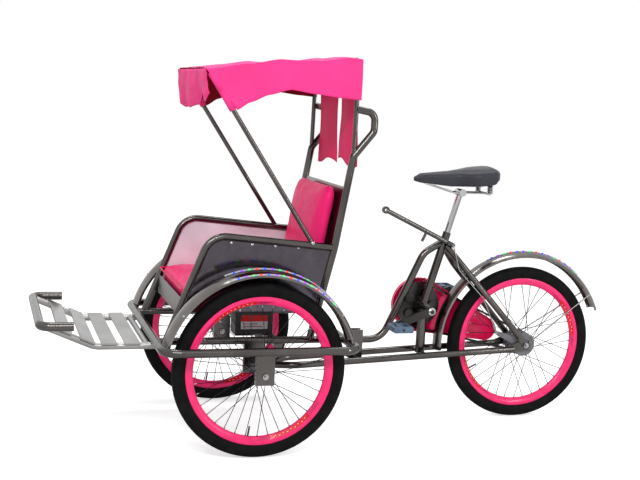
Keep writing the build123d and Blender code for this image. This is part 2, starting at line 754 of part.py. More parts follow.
# Canopy cover: a roof over both hoops with hanging valances, open below and behind
cloth_gap = HOOP_D / 2 + SEAT_GAP
roof_line = [
    (behind(-HOOP_TOP_AHEAD) - cloth_gap, HOOP_TOP_Z + cloth_gap),
    (behind(CANOPY_MID_BEHIND), CANOPY_MID_Z),
    (behind(REAR_BOW_BEHIND) - HOOP_CORNER_R, REAR_BOW_Z + cloth_gap),
    (behind(REAR_BOW_BEHIND) + cloth_gap, REAR_BOW_Z + cloth_gap),
]
hem_line = [
    (behind(REAR_BOW_BEHIND) + cloth_gap, VALANCE_REAR_Z),
    (behind(VALANCE_ARCH_BEHIND), VALANCE_ARCH_Z),
    (behind(-HOOP_TOP_AHEAD) - cloth_gap, VALANCE_FRONT_Z),
]
cover_inner = SEAT_HALF + cloth_gap
front_x = behind(-HOOP_TOP_AHEAD) - cloth_gap
with BuildPart() as canopy_cover:
    with BuildSketch(side_plane(cover_inner + CLOTH)):
        with BuildLine():
            outside = [(front_x - CLOTH, HOOP_TOP_Z + cloth_gap + CLOTH)]
            outside += [(x, z + CLOTH) for x, z in roof_line[1:]]
            outside += hem_line[:2] + [(front_x - CLOTH, VALANCE_FRONT_Z)]
            Polyline(*outside, close=True)
        make_face()
    extrude(amount=2 * (cover_inner + CLOTH))
    with BuildSketch(side_plane(cover_inner)):
        with BuildLine():
            rear_x = behind(REAR_BOW_BEHIND) + cloth_gap + CLOTH
            below = VALANCE_FRONT_Z - HOOP_D
            inside = roof_line + [(rear_x, REAR_BOW_Z + cloth_gap), (rear_x, below)]
            Polyline(*inside, (front_x, below), close=True)
        make_face()
    extrude(amount=2 * cover_inner, mode=Mode.SUBTRACT)
save(canopy_cover.part, "canopy_cover")

# Rear curtain: two flaps hanging from the rear bow, with a slit between them
curtain_x = behind(REAR_BOW_BEHIND) + cloth_gap
with BuildPart() as rear_curtain:
    block((curtain_x, -CURTAIN_HALF, CURTAIN_Z), (curtain_x + CLOTH, CURTAIN_HALF, REAR_BOW_Z))
    block(
        (curtain_x, -CURTAIN_SLIT / 2, CURTAIN_Z),
        (curtain_x + CLOTH, CURTAIN_SLIT / 2, VALANCE_REAR_Z),
        mode=Mode.SUBTRACT,
    )
    add(canopy_cover.part, mode=Mode.SUBTRACT)
save(rear_curtain.part, "rear_curtain")

# Front fenders, seated on the base's bows before and behind each wheel
for name, side in SIDES.items():
    hub = Vector(FRONT_AXLE_X, side * TRACK / 2, WHEEL_R)
    with BuildPart() as front_fender:
        fender_shell(hub, FENDER_R, FENDER_WIDTH, FRONT_FENDER_START, FRONT_FENDER_END)
        add(base_bows.part, mode=Mode.SUBTRACT)
        add(base_rails.part, mode=Mode.SUBTRACT)
    save(front_fender.part, f"{name}_front_fender")

# Battery box on the tray beside the pivot
with BuildPart() as battery:
    block(
        (PIVOT_X - BATTERY[0], BATTERY_Y - BATTERY[1] / 2, tray_top),
        (PIVOT_X, BATTERY_Y + BATTERY[1] / 2, tray_top + BATTERY[2]),
    )
    fillet(battery.edges().filter_by(Axis.Z), BATTERY_ROUND)
save(battery.part, "battery")

# Lower cycle frame: pivot pin and crown, two rails spreading to the dropouts, ties, bracket
rail_end_x = REAR_AXLE_X - RAIL_END_GAP
axle_place = Vector(REAR_AXLE_X, 0, WHEEL_R)
bracket_x = past_crank(-MAIN_FRONT_AHEAD)


def rail_height(x):
    """The height of the straight stretch of the rails' middle line at a place."""
    start_x, start_z = behind(RAIL_SPREAD_BEHIND), RAIL_FRONT_Z + RAIL_CLIMB
    return start_z + (RAIL_END_Z - start_z) * (x - start_x) / (rail_end_x - start_x)


with BuildPart() as lower_frame:
    crown_top = HEAD_BOTTOM - THRUST_GAP
    for bottom, top, diameter in (
        (crown_top - YOKE_HEIGHT, crown_top, YOKE_D),
        (crown_top, HEAD_TOP + THRUST_GAP, PIN_D),
        (HEAD_TOP + THRUST_GAP, HEAD_TOP + THRUST_GAP + PIN_NUT_HEIGHT, PIN_NUT_D),
    ):
        with BuildSketch(Plane.XY.offset(bottom)):
            with Locations((PIVOT_X, 0)):
                Circle(diameter / 2)
        extrude(amount=top - bottom)
    for side in SIDES.values():
        bar(
            [
                (PIVOT_X + YOKE_D / 4, side * RAIL_FRONT_HALF / 2, RAIL_FRONT_Z),
                (behind(RAIL_SPREAD_BEHIND), side * RAIL_HALF, RAIL_FRONT_Z + RAIL_CLIMB),
                (rail_end_x, side * RAIL_HALF, RAIL_END_Z),
            ],
            RAIL_D,
            RAIL_BEND_R,
        )
        with BuildSketch(side_plane(side * RAIL_HALF + DROPOUT_THICK / 2)):
            with Locations((rail_end_x - RAIL_D, RAIL_END_Z)):
                Circle(DROPOUT_ROOT_R)
            with Locations((REAR_AXLE_X, WHEEL_R)):
                Circle(DROPOUT_R)
            make_hull()
        extrude(amount=DROPOUT_THICK)
    for tie_x in (bracket_x + BRACKET_LENGTH / 2, CRANK_X):
        across(Vector(tie_x, 0, rail_height(tie_x)), TIE_D, -RAIL_HALF, RAIL_HALF)
    bracket_in = MAIN_TUBE_D / 2 + SEAT_GAP
    block(
        (bracket_x, -bracket_in - CHEEK_THICK, rail_height(bracket_x)),
        (bracket_x + BRACKET_LENGTH, bracket_in + CHEEK_THICK, MAIN_TUBE_Z + BRACKET_TOP),
    )
    block(
        (bracket_x, -bracket_in, MAIN_TUBE_Z - MAIN_TUBE_D / 2 - SEAT_GAP),
        (bracket_x + BRACKET_LENGTH, bracket_in, MAIN_TUBE_Z + BRACKET_TOP),
        mode=Mode.SUBTRACT,
    )
    across(axle_place, AXLE_D, -2 * RAIL_HALF, 2 * RAIL_HALF, mode=Mode.SUBTRACT)
save(lower_frame.part, "lower_frame")

# Upper cycle frame: crank shell on its post, leaning seat tube and the curved main tube
crank_place = Vector(CRANK_X, 0, CRANK_Z)
seat_top_x = CRANK_X + SEAT_TUBE_LEAN * (SEAT_TUBE_TOP_Z - CRANK_Z)
main_end_x = CRANK_X + SEAT_TUBE_LEAN * (MAIN_END_Z - CRANK_Z)
with BuildPart() as upper_frame:
    bar([(CRANK_X, 0, CRANK_Z), (seat_top_x, 0, SEAT_TUBE_TOP_Z)], SEAT_TUBE_D)
    bar([(CRANK_X, 0, CRANK_Z), (CRANK_X, 0, rail_height(CRANK_X))], LOWER_POST_D)
    bar(
        [
            (bracket_x, 0, MAIN_TUBE_Z),
            (past_crank(-MAIN_BEND_AHEAD), 0, MAIN_TUBE_Z),
            (past_crank(-MAIN_UPPER_AHEAD), 0, MAIN_UPPER_Z),
            (main_end_x, 0, MAIN_END_Z),
        ],
        MAIN_TUBE_D,
        MAIN_BEND_R,
    )
    across(crank_place, SHELL_D, -SHELL_HALF, SHELL_HALF)
    across(crank_place, SPINDLE_D + 2 * BEARING_GAP, -SHELL_HALF, SHELL_HALF, mode=Mode.SUBTRACT)
    seat_line = Plane(
        origin=(seat_top_x, 0, SEAT_TUBE_TOP_Z),
        z_dir=(-SEAT_TUBE_LEAN, 0, -1),
    )
    with BuildSketch(seat_line):
        Circle(SADDLE_POST_D / 2)
    extrude(amount=POST_SOCKET, mode=Mode.SUBTRACT)
    add(lower_frame.part, mode=Mode.SUBTRACT)
save(upper_frame.part, "upper_frame")

# Seat stays: from the seat tube past both sides of the rear wheel down to the dropouts
stay_low_x, stay_low_z = REAR_AXLE_X - STAY_LOW_AHEAD, WHEEL_R + STAY_LOW_RISE
stay_bend_x = past_crank(STAY_BEND_PAST)
with BuildPart() as seat_stays:
    for side in SIDES.values():
        bar(
            [
                (main_end_x, side * STAY_TOP_HALF, STAY_TOP_Z),
                (stay_bend_x, side * STAY_BEND_HALF, STAY_BEND_Z),
                (stay_low_x, side * STAY_LOW_HALF, stay_low_z),
            ],
            STAY_TUBE_D,
            STAY_BEND_R,
        )
        lug_y = side * (RAIL_HALF + DROPOUT_THICK / 2 + LUG_THICK / 2)
        with BuildSketch(side_plane(lug_y + LUG_THICK / 2)):
            with Locations((stay_low_x, stay_low_z)):
                Circle(STAY_TUBE_D / 2)
            with Locations((REAR_AXLE_X, WHEEL_R)):
                Circle(STAY_TUBE_D / 2)
            make_hull()
        extrude(amount=LUG_THICK)
    across(axle_place, AXLE_D, -2 * RAIL_HALF, 2 * RAIL_HALF, mode=Mode.SUBTRACT)
    bridge_r = REAR_FENDER_R + BRIDGE_D / 2 + SEAT_GAP
    up_stay = Vector(stay_bend_x - REAR_AXLE_X, 0, STAY_BEND_Z - WHEEL_R).normalized()
    bridge = axle_place + bridge_r * up_stay
    across(bridge, BRIDGE_D, -STAY_BEND_HALF, STAY_BEND_HALF)
    add(upper_frame.part, mode=Mode.SUBTRACT)
    add(lower_frame.part, mode=Mode.SUBTRACT)
save(seat_stays.part, "seat_stays")

# Saddle: arched cross-sections lofted from a low narrow nose to a wide raised rear
SADDLE_SECTIONS = (
    # share of the length, half width, underside and top above the saddle's level
    (0.00, 14.0, 6.0, 26.0),
    (0.07, 24.0, 0.0, 40.0),
    (0.45, 38.0, -8.0, 50.0),
    (0.76, 108.0, -4.0, 66.0),
    (0.93, 112.0, 8.0, SADDLE_HEIGHT),
    (1.00, 82.0, 24.0, SADDLE_HEIGHT - 8.0),
)
saddle_front_x = past_crank(SADDLE_PAST) - SADDLE_LENGTH / 2
with BuildPart() as saddle:
    for share, half, under, top in SADDLE_SECTIONS:
        place = (saddle_front_x + share * SADDLE_LENGTH, 0, SADDLE_Z)
        with BuildSketch(Plane(origin=place, x_dir=(0, 1, 0), z_dir=(1, 0, 0))):
            with BuildLine():
                Line((-half, under), (half, under))
                ThreePointArc((half, under), (0, top), (-half, under))
            make_face()
    loft()
save(saddle.part, "saddle")

# Saddle post with its clamp, two rails that carry the saddle, and two rear springs
post_head_z = SADDLE_Z - SPRING_HEIGHT
post_head_x = seat_top_x + SEAT_TUBE_LEAN * (post_head_z - SEAT_TUBE_TOP_Z)
socket_drop = POST_SOCKET / math.hypot(1, SEAT_TUBE_LEAN)
socket_x, socket_z = seat_top_x - SEAT_TUBE_LEAN * socket_drop, SEAT_TUBE_TOP_Z - socket_drop
spring_x = saddle_front_x + SADDLE_LENGTH - SPRING_D
coil = SPRING_HEIGHT / SPRING_COILS
with BuildPart() as saddle_post:
    bar([(socket_x, 0, socket_z), (post_head_x, 0, post_head_z)], SADDLE_POST_D)
    across(
        Vector(post_head_x, 0, post_head_z),
        CLAMP_D,
        -SADDLE_RAIL_HALF - CLAMP_HALF,
        SADDLE_RAIL_HALF + CLAMP_HALF,
    )
    for side in SIDES.values():
        rail_y = side * SADDLE_RAIL_HALF
        bar(
            [
                (saddle_front_x + SADDLE_RAIL_NOSE, rail_y / 2, SADDLE_Z),
                (post_head_x - SPRING_HEIGHT, rail_y, post_head_z),
                (spring_x, rail_y, post_head_z),
            ],
            SADDLE_RAIL_D,
            SADDLE_RAIL_D,
        )
        with BuildSketch(Plane.XZ) as spring:
            with BuildLine():
                turns = [(0, SPRING_HEIGHT + SADDLE_RAIL_D), (0, 0)]
                for turn in range(SPRING_COILS):
                    turns += [
                        (SPRING_CORE_D / 2, turn * coil),
                        (SPRING_D / 2, turn * coil + coil / 2),
                    ]
                turns += [(SPRING_CORE_D / 2, SPRING_HEIGHT + SADDLE_RAIL_D)]
                Polyline(*turns, close=True)
            make_face()
        foot = (spring_x, side * SPRING_HALF, post_head_z)
        revolve(profiles=spring.sketch.moved(Location(foot)), axis=Axis(foot, (0, 0, 1)))
    across(Vector(spring_x, 0, post_head_z), SADDLE_CROSS_D, -SPRING_HALF, SPRING_HALF)
    add(upper_frame.part, mode=Mode.SUBTRACT)
    add(saddle.part, mode=Mode.SUBTRACT)
save(saddle_post.part, "saddle_post")

# Brake lever beside the seat tube: ring end, resting peg, pivot head and the rod's pin
lever_tip = Vector(past_crank(-LEVER_TIP_AHEAD), LEVER_Y, LEVER_TIP_Z)
lever_end = Vector(past_crank(LEVER_END_PAST), LEVER_Y, LEVER_END_Z)
lever_run = lever_end - lever_tip
peg_root = lever_tip + PEG_SHARE * lever_run
peg_tip = peg_root + PEG_LENGTH * Vector(lever_run.Z, 0, -lever_run.X).normalized()
pivot_share = (main_end_x - lever_tip.X) / lever_run.X
lever_pivot = lever_tip + pivot_share * lever_run
rod_top = lever_tip + ROD_SHARE * lever_run
lever_side = LEVER_Y - LEVER_D / 2
with BuildPart() as brake_lever:
    bar([lever_tip, lever_end], LEVER_D)
    bar([peg_root, peg_tip], PEG_D)
    across(lever_tip, LEVER_RING_D, LEVER_Y - LEVER_RING_HALF, LEVER_Y + LEVER_RING_HALF)
    across(lever_tip, LEVER_HOLE_D, LEVER_Y - LEVER_D, LEVER_Y + LEVER_D, mode=Mode.SUBTRACT)
    across(lever_pivot, LEVER_HEAD_D, lever_side - LEVER_HEAD, LEVER_Y)
    across(lever_pivot, AXLE_D, LEVER_Y, -SADDLE_POST_D / 2 - SEAT_GAP)
    across(rod_top, ROD_PIN_D, lever_side - ROD_EYE_THICK - THRUST_GAP, LEVER_Y)
    add(upper_frame.part, mode=Mode.SUBTRACT)
save(brake_lever.part, "brake_lever")

# Brake plate beside the rear hub, with the arm that the rod pulls
brake_side = -REAR_HUB_HALF - SEAT_GAP
arm_end = axle_place + Vector(-ARM_REACH, 0, ARM_RISE)
arm_side = brake_side - DRUM_PLATE
with BuildPart() as brake_plate:
    across(axle_place, 2 * DRUM_R, arm_side, brake_side)
    with BuildSketch(side_plane(brake_side)):
        with Locations((arm_end.X, arm_end.Z)):
            Circle(ROD_EYE_D / 2)
        with Locations((REAR_AXLE_X, WHEEL_R)):
            Circle(ARM_ROOT_D / 2)
        make_hull()
    extrude(amount=DRUM_PLATE)
    across(arm_end, ROD_PIN_D, arm_side - ROD_EYE_THICK - THRUST_GAP, brake_side)
    across(axle_place, AXLE_D, arm_side, brake_side, mode=Mode.SUBTRACT)
save(brake_plate.part, "brake_plate")

# Brake rod: an eye on the lever's pin, a wire down along the stay and a nut above its lower eye
eye_top = Vector(rod_top.X, lever_side - THRUST_GAP - ROD_EYE_THICK / 2, rod_top.Z)
eye_low = Vector(arm_end.X, arm_side - THRUST_GAP - ROD_EYE_THICK / 2, arm_end.Z)
beside_stay = -STAY_BEND_HALF - STAY_TUBE_D / 2 - ROD_D
bend_high = Vector(stay_bend_x - STAY_TUBE_D, beside_stay, STAY_BEND_Z - STAY_TUBE_D / 2)
bend_low = (bend_high + eye_low) / 2 + Vector(STAY_TUBE_D, 0, STAY_TUBE_D / 2)
nut_way = (bend_low - eye_low).normalized()
with BuildPart() as brake_rod:
    bar([eye_top, bend_high, bend_low, eye_low], ROD_D, ROD_BEND_R)
    bar([eye_low + ROD_EYE_D * nut_way, eye_low + (ROD_EYE_D + ROD_NUT_LENGTH) * nut_way], ROD_NUT_D)
    for eye in (eye_top, eye_low):
        low, high = eye.Y - ROD_EYE_THICK / 2, eye.Y + ROD_EYE_THICK / 2
        across(eye, ROD_EYE_D, low, high)
        across(eye, ROD_PIN_D + 2 * BEARING_GAP, low - ROD_EYE_D, high + ROD_EYE_D, mode=Mode.SUBTRACT)
save(brake_rod.part, "brake_rod")

# Rear axle with spacers and end nuts
lug_outer = RAIL_HALF + DROPOUT_THICK / 2 + LUG_THICK
with BuildPart() as rear_axle:
    axle_half = lug_outer + AXLE_NUT + AXLE_STUB
    across(axle_place, AXLE_D, -axle_half, axle_half)
    for side in SIDES.values():
        near = REAR_HUB_HALF + SEAT_GAP + (DRUM_PLATE if side == LEFT else 0)
        for diameter, first, last in (
            (SPACER_D, near, RAIL_HALF - DROPOUT_THICK / 2),
            (NUT_D, lug_outer, lug_outer + AXLE_NUT),
        ):
            low, high = sorted((side * first, side * last))
            across(axle_place, diameter, low, high)
save(rear_axle.part, "rear_axle")

# Rear fender, with wire stays from its edges to the dropouts
with BuildPart() as rear_fender:
    fender_shell(axle_place, REAR_FENDER_R, REAR_FENDER_WIDTH, REAR_FENDER_START, REAR_FENDER_END)
    edge_r = REAR_FENDER_R - FENDER_CROWN - FENDER_LIP / 2
    edge_x, edge_z = polar(axle_place, edge_r, STAY_ANGLE)
    hub_x, hub_z = polar(axle_place, DROPOUT_R - STAY_D, STAY_ANGLE)
    for side in SIDES.values():
        edge_y = side * (REAR_FENDER_WIDTH - FENDER_SHEET) / 2
        hub_y = side * (lug_outer + STAY_D / 2 + 3 * SEAT_GAP - LUG_THICK)
        bar([(edge_x, edge_y, edge_z), (hub_x, hub_y, hub_z)], STAY_D)
save(rear_fender.part, "rear_fender")

# Chain, as a closed band round the chainring and the cog
with BuildPart() as chain:
    for grow, mode in ((CHAIN_HEIGHT + CHAIN_GAP, Mode.ADD), (CHAIN_GAP, Mode.SUBTRACT)):
        with BuildSketch(side_plane(CHAIN_Y + CHAIN_WIDTH / 2)):
            with Locations((CRANK_X, CRANK_Z)):
                Circle(CHAINRING_R + grow)
            with Locations((REAR_AXLE_X, WHEEL_R)):
                Circle(COG_R + grow)
            make_hull()
        extrude(amount=CHAIN_WIDTH, mode=mode)
save(chain.part, "chain")

# Chain case: an open-backed cover over the chainring and most of the chain
tail_x = past_crank(GUARD_TAIL_PAST)
tail_z = CRANK_Z + (WHEEL_R - CRANK_Z) * GUARD_TAIL_PAST / CRANK_AHEAD
outer_y = GUARD_Y + GUARD_DEPTH
inner_y = outer_y - GUARD_SHEET
with BuildPart() as chain_case:
    for shrink, far, mode in ((0, outer_y, Mode.ADD), (GUARD_SHEET, inner_y, Mode.SUBTRACT)):
        with BuildSketch(side_plane(far)):
            with Locations((CRANK_X, CRANK_Z)):
                Circle(GUARD_R - shrink)
            with Locations((tail_x, tail_z)):
                Circle(GUARD_TAIL_R - shrink)
            make_hull()
        extrude(amount=far - GUARD_Y, mode=mode)
    across(crank_place, GUARD_HOLE_D, GUARD_Y, outer_y, mode=Mode.SUBTRACT)
    for angle in GUARD_BRACKETS:
        hold_x, hold_z = polar(crank_place, GUARD_R - BRACKET_D / 4, angle)
        across(Vector(hold_x, 0, hold_z), BRACKET_D, 0, inner_y)
    add(upper_frame.part, mode=Mode.SUBTRACT)
save(chain_case.part, "chain_case")

# Wheels: tyre, rim and spoked hub
front_hub = (FRONT_FLANGE_R, FRONT_FLANGE_HALF, FRONT_HUB_HALF, False)
rear_hub = (REAR_FLANGE_R, REAR_FLANGE_HALF, REAR_HUB_HALF, True)
wheels = {
    "left_front": (Vector(FRONT_AXLE_X, -TRACK / 2, WHEEL_R), front_hub),
    "right_front": (Vector(FRONT_AXLE_X, TRACK / 2, WHEEL_R), front_hub),
    "rear": (axle_place, rear_hub),
}
for name, (centre, hub_sizes) in wheels.items():
    save(tyre(centre), f"{name}_tyre")
    save(rim(centre), f"{name}_rim")
    save(spoked_hub(centre, *hub_sizes), f"{name}_hub")

# Crank set: spindle, toothed chainring and two opposed arms with their pedal pins
CRANKS = {LEFT: CRANK_LEFT_DEG, RIGHT: CRANK_LEFT_DEG + 180}
arm_outer = CRANK_INNER + CRANK_THICK
pin_outer = arm_outer + PEDAL_GAP + PEDAL_WIDTH
with BuildPart() as crank_set:
    toothed(crank_place, CHAINRING_R, RING_TEETH)
    with BuildSketch(side_plane(CHAIN_Y + RING_THICK / 2)) as windows:
        with Locations((CRANK_X, CRANK_Z)):
            with PolarLocations(WINDOW_R, WINDOWS):
                Circle(WINDOW_D / 2)
    extrude(windows.sketch, amount=RING_THICK, mode=Mode.SUBTRACT)
    across(crank_place, SPINDLE_D, -arm_outer, arm_outer)
    across(crank_place, RING_BOSS_D, SHELL_HALF + SEAT_GAP, CHAIN_Y + RING_THICK / 2)
    for side, angle in CRANKS.items():
        tip_x, tip_z = polar(crank_place, CRANK_LENGTH, angle)
        low, high = sorted((side * CRANK_INNER, side * arm_outer))
        with BuildSketch(side_plane(high)):
            with Locations((CRANK_X, CRANK_Z)):
                Circle(CRANK_EYE_D / 2)
            with Locations((tip_x, tip_z)):
                Circle(CRANK_WIDTH / 2)
            make_hull()
        extrude(amount=CRANK_THICK)
        low, high = sorted((side * CRANK_INNER, side * pin_outer))
        across(Vector(tip_x, 0, tip_z), AXLE_D, low, high)
save(crank_set.part, "crank_set")

# Pedals, each a barrel that turns on its pin, within a tread with two open windows
for name, side in SIDES.items():
    tip_x, tip_z = polar(crank_place, CRANK_LENGTH, CRANKS[side])
    low, high = sorted((side * (arm_outer + PEDAL_GAP), side * pin_outer))
    pin = Vector(tip_x, 0, tip_z)
    with BuildPart() as pedal:
        block(
            (tip_x - PEDAL_LENGTH / 2, low, tip_z - PEDAL_THICK / 2),
            (tip_x + PEDAL_LENGTH / 2, high, tip_z + PEDAL_THICK / 2),
        )
        fillet(pedal.edges().filter_by(Axis.Y), PEDAL_THICK / 4)
        block(
            (tip_x - PEDAL_LENGTH / 2 + PEDAL_WALL, low + PEDAL_WALL, tip_z - PEDAL_THICK),
            (tip_x + PEDAL_LENGTH / 2 - PEDAL_WALL, high - PEDAL_WALL, tip_z + PEDAL_THICK),
            mode=Mode.SUBTRACT,
        )
        across(pin, PEDAL_BARREL_D, low, high)
        across(pin, AXLE_D + 2 * BEARING_GAP, low, high, mode=Mode.SUBTRACT)
    save(pedal.part, f"{name}_pedal")
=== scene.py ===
import math

import bpy
from mathutils import Matrix, Vector, noise


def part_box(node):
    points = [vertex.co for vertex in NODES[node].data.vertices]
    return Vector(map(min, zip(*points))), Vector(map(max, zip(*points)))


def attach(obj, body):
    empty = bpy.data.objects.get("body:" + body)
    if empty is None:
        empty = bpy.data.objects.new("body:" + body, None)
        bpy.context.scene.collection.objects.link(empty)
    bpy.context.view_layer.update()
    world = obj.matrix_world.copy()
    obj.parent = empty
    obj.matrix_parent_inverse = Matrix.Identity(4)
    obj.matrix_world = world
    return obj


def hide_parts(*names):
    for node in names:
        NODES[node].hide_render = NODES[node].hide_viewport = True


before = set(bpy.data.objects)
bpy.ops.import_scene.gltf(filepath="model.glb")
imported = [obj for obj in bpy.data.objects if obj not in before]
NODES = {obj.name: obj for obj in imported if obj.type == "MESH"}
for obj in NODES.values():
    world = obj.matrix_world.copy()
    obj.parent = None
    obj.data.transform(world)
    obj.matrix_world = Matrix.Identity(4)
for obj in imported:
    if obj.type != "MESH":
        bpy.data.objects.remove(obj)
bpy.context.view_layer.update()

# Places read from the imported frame, in metres. The vehicle's front is -X and its left is -Y.
WHEELS = ("left_front", "right_front", "rear")
HUB = {w: (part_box(f"{w}_tyre")[0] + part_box(f"{w}_tyre")[1]) / 2 for w in WHEELS}
AXLE = HUB["left_front"].x
LEFT, RIGHT = -1, 1
SIDES = {"left": LEFT, "right": RIGHT}

# Camera: the photograph's viewpoint, in the frame's coordinates
CAMERA_BEHIND_AXLE = -1.021
CAMERA_Y = -4.474
CAMERA_Z = 1.373
YAW = 0.2939
PITCH = 0.129
ROLL = 0.04981
LENS = 64.9
SHIFT = (0.0, 0.0)

# Colours, linear
# The steel colour is painted dark: it stands in for dark reflections of surroundings that the scene does not
# have.
STEEL_PAINTED_DARK = (0.105, 0.098, 0.094)
# The canopy cloth's inner side: the same pink cloth painted dark red, a painted shade.
CLOTH_PAINTED_SHADE = (0.26, 0.002, 0.012)
BLACK = (0.012, 0.012, 0.013)


def collection_add(obj):
    """Links an object to the scene and returns it."""
    bpy.context.scene.collection.objects.link(obj)
    return obj


def mesh_piece(name, points, faces, material=None, smooth=True):
    """A mesh object from points and faces."""
    mesh = bpy.data.meshes.new(name)
    mesh.from_pydata([tuple(p) for p in points], [], faces)
    mesh.validate()
    if smooth:
        mesh.polygons.foreach_set("use_smooth", [True] * len(mesh.polygons))
    mesh.update()
    piece = collection_add(bpy.data.objects.new(name, mesh))
    if material:
        mesh.materials.append(material)
    return piece


def apply_modifiers(piece):
    """Replaces a piece's mesh with what its modifiers make of it."""
    graph = bpy.context.evaluated_depsgraph_get()
    mesh = bpy.data.meshes.new_from_object(piece.evaluated_get(graph))
    piece.modifiers.clear()
    piece.data = mesh
    return piece


# Materials: one Principled shader each, with procedural variation at the real thing's scale
class Shade:
    """A material with its Principled shader and short calls for the nodes that feed it."""

    def __init__(self, name, colour, metallic=0.0, roughness=0.5, **settings):
        self.material = bpy.data.materials.new(name)
        self.material.use_nodes = True
        self.nodes = self.material.node_tree.nodes
        self.links = self.material.node_tree.links
        self.shader = self.nodes["Principled BSDF"]
        self.set("Base Color", (*colour, 1))
        self.set("Metallic", metallic)
        self.set("Roughness", roughness)
        for socket, value in settings.items():
            self.set(socket.replace("_", " "), value)
        self.colour = colour
        self.place = self.node("ShaderNodeTexCoord").outputs["Object"]

    def set(self, socket, value):
        """Sets one of the shader's own values."""
        self.shader.inputs[socket].default_value = value

    def node(self, kind, inputs=(), **settings):
        """Adds a node, with its inputs linked or set."""
        made = self.nodes.new(kind)
        for key, value in settings.items():
            setattr(made, key, value)
        for key, value in dict(inputs).items():
            if hasattr(value, "is_linked"):
                self.links.new(value, made.inputs[key])
            else:
                made.inputs[key].default_value = value
        return made

    def stretched(self, scale):
        """Object coordinates scaled by different amounts along the axes."""
        return self.node("ShaderNodeMapping", {"Vector": self.place, "Scale": scale}).outputs["Vector"]

    def noise(self, scale, detail=4.0, vector=None):
        """Soft noise from 0 to 1."""
        inputs = {"Vector": vector or self.place, "Scale": scale, "Detail": detail}
        return self.node("ShaderNodeTexNoise", inputs).outputs["Fac"]

    def ramp(self, factor, stops):
        """A colour ramp over a factor, from (place, colour) pairs."""
        made = self.node("ShaderNodeValToRGB", {"Fac": factor})
        elements = made.color_ramp.elements
        while len(elements) < len(stops):
            elements.new(0.5)
        for element, (at, colour) in zip(elements, stops):
            element.position = at
            element.color = (*colour, 1)
        return made.outputs["Color"]

    def range(self, factor, low, high):
        """A factor spread over a new range."""
        inputs = {"Value": factor, "From Min": 0.3, "From Max": 0.7, "To Min": low, "To Max": high}
        return self.node("ShaderNodeMapRange", inputs).outputs["Result"]

    def feed(self, socket, source):
        """Links a source to one of the shader's sockets."""
        self.links.new(source, self.shader.inputs[socket])

    def bump(self, height, strength, distance):
        """Adds surface relief from a height factor."""
        inputs = {"Height": height, "Strength": strength, "Distance": distance}
        previous = self.shader.inputs["Normal"]
        if previous.is_linked:
            inputs["Normal"] = previous.links[0].from_socket
        self.feed("Normal", self.node("ShaderNodeBump", inputs).outputs["Normal"])


def tint(colour, factor):
    """A colour made darker or lighter."""
    return tuple(min(1.0, c * factor) for c in colour)


def polished_steel(name, colour, roughness):
    """Polished stainless: slight waviness and faint smears."""
    s = Shade(name, colour, metallic=1.0, roughness=roughness)
    smear = s.noise(7, 5)
    s.feed("Base Color", s.ramp(smear, [(0.35, tint(colour, 0.8)), (0.65, tint(colour, 1.12))]))
    s.feed("Roughness", s.range(s.noise(60, 6), roughness * 0.75, roughness * 1.4))
    s.bump(s.noise(11, 2), 0.1, 0.003)
    return s.material


def brushed_steel(name, colour, roughness, grain, metallic=1.0):
    """Mill sheet: faint fine lines along one axis over soft patches and shallow dents."""
    s = Shade(name, colour, metallic=metallic, roughness=roughness)
    lines = s.noise(420, 6, s.stretched(grain))
    s.feed("Base Color", s.ramp(s.noise(5, 3), [(0.3, tint(colour, 0.82)), (0.7, tint(colour, 1.15))]))
    s.feed("Roughness", s.range(lines, roughness * 0.9, roughness * 1.15))
    s.bump(lines, 0.03, 0.0002)
    s.bump(s.noise(4, 2), 0.12, 0.006)
    return s.material


def vinyl(name, colour, roughness=0.34, grain=0.12, wrinkle=0.0):
    """Coated upholstery cloth: pebbled grain and faint mottling."""
    s = Shade(name, colour, roughness=roughness, Specular_IOR_Level=0.16)
    mottle = s.noise(11, 5)
    s.feed("Base Color", s.ramp(mottle, [(0.3, tint(colour, 0.93)), (0.7, tint(colour, 1.04))]))
    pebble = s.node("ShaderNodeTexVoronoi", {"Vector": s.place, "Scale": 620.0}).outputs["Distance"]
    s.bump(pebble, grain, 0.0005)
    s.feed("Roughness", s.range(s.noise(40, 4), roughness * 0.8, roughness * 1.25))
    if wrinkle:
        s.bump(s.noise(26, 3, s.stretched((1, 1, 0.35))), wrinkle, 0.006)
    return s.material


def canopy_cloth(name, colour):
    """Coated canopy cloth: a fine weave, soft creases and slight fading."""
    s = Shade(name, colour, roughness=0.55, Specular_IOR_Level=0.14)
    fade = s.noise(6, 5)
    s.feed("Base Color", s.ramp(fade, [(0.3, tint(colour, 0.90)), (0.7, tint(colour, 1.10))]))
    for axis in ("X", "Z"):
        weave = s.node("ShaderNodeTexWave", {"Vector": s.place, "Scale": 420.0}, bands_direction=axis)
        s.bump(weave.outputs["Fac"], 0.08, 0.0004)
    s.bump(s.noise(16, 4), 0.3, 0.006)
    return s.material


def rubber(name):
    """Tyre rubber with dust and a mould texture."""
    s = Shade(name, BLACK, roughness=0.7, Specular_IOR_Level=0.08)
    dust = s.noise(34, 6)
    s.feed("Base Color", s.ramp(dust, [(0.4, (0.004, 0.004, 0.0045)), (0.75, (0.011, 0.0105, 0.010))]))
    s.bump(s.noise(420, 4), 0.25, 0.0008)
    s.feed("Roughness", s.range(dust, 0.6, 0.85))
    return s.material


def paint(name, colour, roughness=0.22):
    """Gloss paint or anodising with orange peel and slight wear."""
    s = Shade(name, colour, roughness=roughness, Coat_Weight=0.2, Coat_Roughness=0.08, Specular_IOR_Level=0.3)
    wear = s.noise(24, 6)
    s.feed("Base Color", s.ramp(wear, [(0.28, tint(colour, 0.78)), (0.6, colour), (0.8, tint(colour, 1.1))]))
    s.bump(s.noise(320, 2), 0.06, 0.0005)
    return s.material


